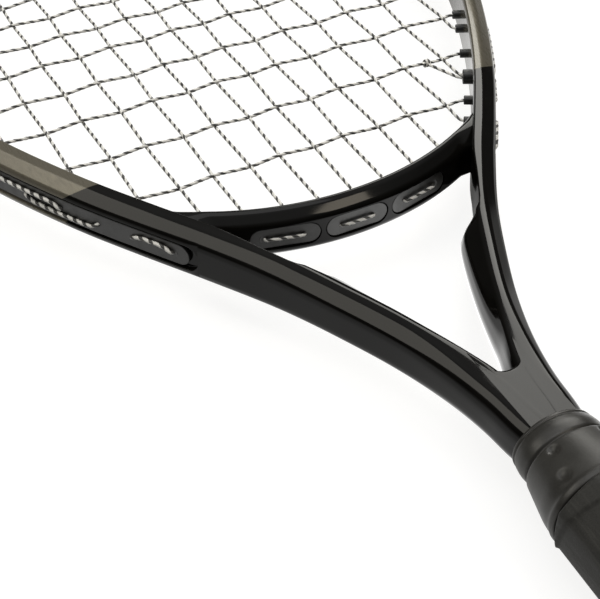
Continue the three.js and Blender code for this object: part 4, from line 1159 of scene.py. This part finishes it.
def plastic():
    made, tree, shader = material("cap_plastic", Specular_IOR_Level=0.5)
    grain = noise(tree, place_of(tree), 2600, 4, 0.65)
    base = ramp(tree, grain, (0.3, (0.012, 0.012, 0.0115)), (0.7, (0.024, 0.024, 0.022)))
    feed(tree, shader, Base_Color=base, Roughness=ramp(tree, grain, (0.3, 0.38), (0.7, 0.5)))
    bump(tree, shader, grain, 0.3, 0.00008)
    return made


def finish_with(piece, made):
    piece.data.materials.clear()
    piece.data.materials.append(made)


finishes = {"frame_lacquer": lacquer(), "grommet_nylon": nylon(), "string": twisted_cord(),
            "grip_wrap": tape(), "collar_rubber": rubber(), "handle_foam": foam(), "cap_plastic": plastic()}
for piece in scene.objects:
    if "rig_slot" in piece:
        finish_with(piece, finishes[piece["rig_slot"]])
slots = {part["node"]: part["material_slot"] for part in frame["record"]["subparts"]}
for name, cad_node in frame["nodes"].items():
    finish_with(cad_node, finishes[slots[name]])


# Floor
def pool(tree, centre, *stops):
    away = node(tree, "ShaderNodeVectorMath", {0: place_of(tree), 1: centre}, operation="DISTANCE")
    return ramp(tree, away.outputs["Value"], *stops)


def paper():
    """White to the camera; reflections see painted light in pools on it and a painted shadow, to match the
    lacquer in the photograph.
    """
    made, tree, shader = material("paper", Roughness=0.9, Specular_IOR_Level=0.1)
    rays = node(tree, "ShaderNodeLightPath").outputs
    # Painted light: glowing pools round and inside the V, seen only by reflections
    painted_light = math_node(tree, "MULTIPLY_ADD", pool(tree, *PAINTED_LIGHT_IN_V), PAINTED_LIGHT_IN_V_GAIN, pool(tree, *PAINTED_LIGHT_ROUND_V))
    # Painted shadow: the joint's shade darkens that glow near it
    painted_light = math_node(tree, "MULTIPLY", pool(tree, *PAINTED_SHADOW_POOL), painted_light)
    mirrored = math_node(tree, "MULTIPLY", rays["Is Glossy Ray"], painted_light)
    seen = math_node(tree, "MAXIMUM", rays["Is Camera Ray"], mirrored)
    cloud = noise(tree, place_of(tree), 3, 2)
    shader.inputs["Emission Color"].default_value = (1, 0.998, 0.99, 1)
    feed(tree, shader, Base_Color=ramp(tree, cloud, (0.3, (0.23, 0.229, 0.227)), (0.7, (0.25, 0.249, 0.247))),
         Emission_Strength=math_node(tree, "MULTIPLY", seen, FLOOR_GLOW))
    return made


floor_z = cad_low.z - FLOOR_GAP
floor_corners = [(x * FLOOR_HALF, y * FLOOR_HALF, floor_z) for x, y in ((-1, -1), (1, -1), (1, 1), (-1, 1))]
floor_mesh = bpy.data.meshes.new("floor")
floor_mesh.from_pydata(floor_corners, [], [(0, 1, 2, 3)])
floor_mesh.materials.append(paper())
add_object("floor", floor_mesh)

# World: white to the camera, and brighter overhead than at the sides for all else
world = bpy.data.worlds.new("world")
scene.world = world
world.use_nodes = True
sky_tree = world.node_tree
sky_way = node(sky_tree, "ShaderNodeTexCoord").outputs["Generated"]
sky_rise = node(sky_tree, "ShaderNodeSeparateXYZ", {0: sky_way}).outputs["Z"]
sky = ramp(sky_tree, sky_rise, (0, (0.05, 0.05, 0.05)), (0.35, (0.06, 0.06, 0.06)),
           (0.62, (0.22, 0.222, 0.226)), (1, (0.9, 0.908, 0.924)))
by_camera = node(sky_tree, "ShaderNodeLightPath").outputs["Is Camera Ray"]
feed(sky_tree, sky_tree.nodes["Background"], Color=mix(sky_tree, by_camera, sky, (1, 1, 1, 1)))


# Lamps
def softbox(name, way, width, height, power, tint):
    lamp = bpy.data.lights.new(name, "AREA")
    lamp.color = tint
    lamp.shape = "RECTANGLE"
    lamp.size, lamp.size_y = width, height
    lamp.energy = power
    box = add_object(name, lamp)
    way = Vector(way).normalized()
    box.location = LAMP_TARGET + way * LAMP_DISTANCE
    box.rotation_mode = "QUATERNION"
    box.rotation_quaternion = way.to_track_quat("Z", "Y")


for name, values in SOFTBOXES.items():
    softbox(name, *values)

scene.view_settings.view_transform = "Standard"
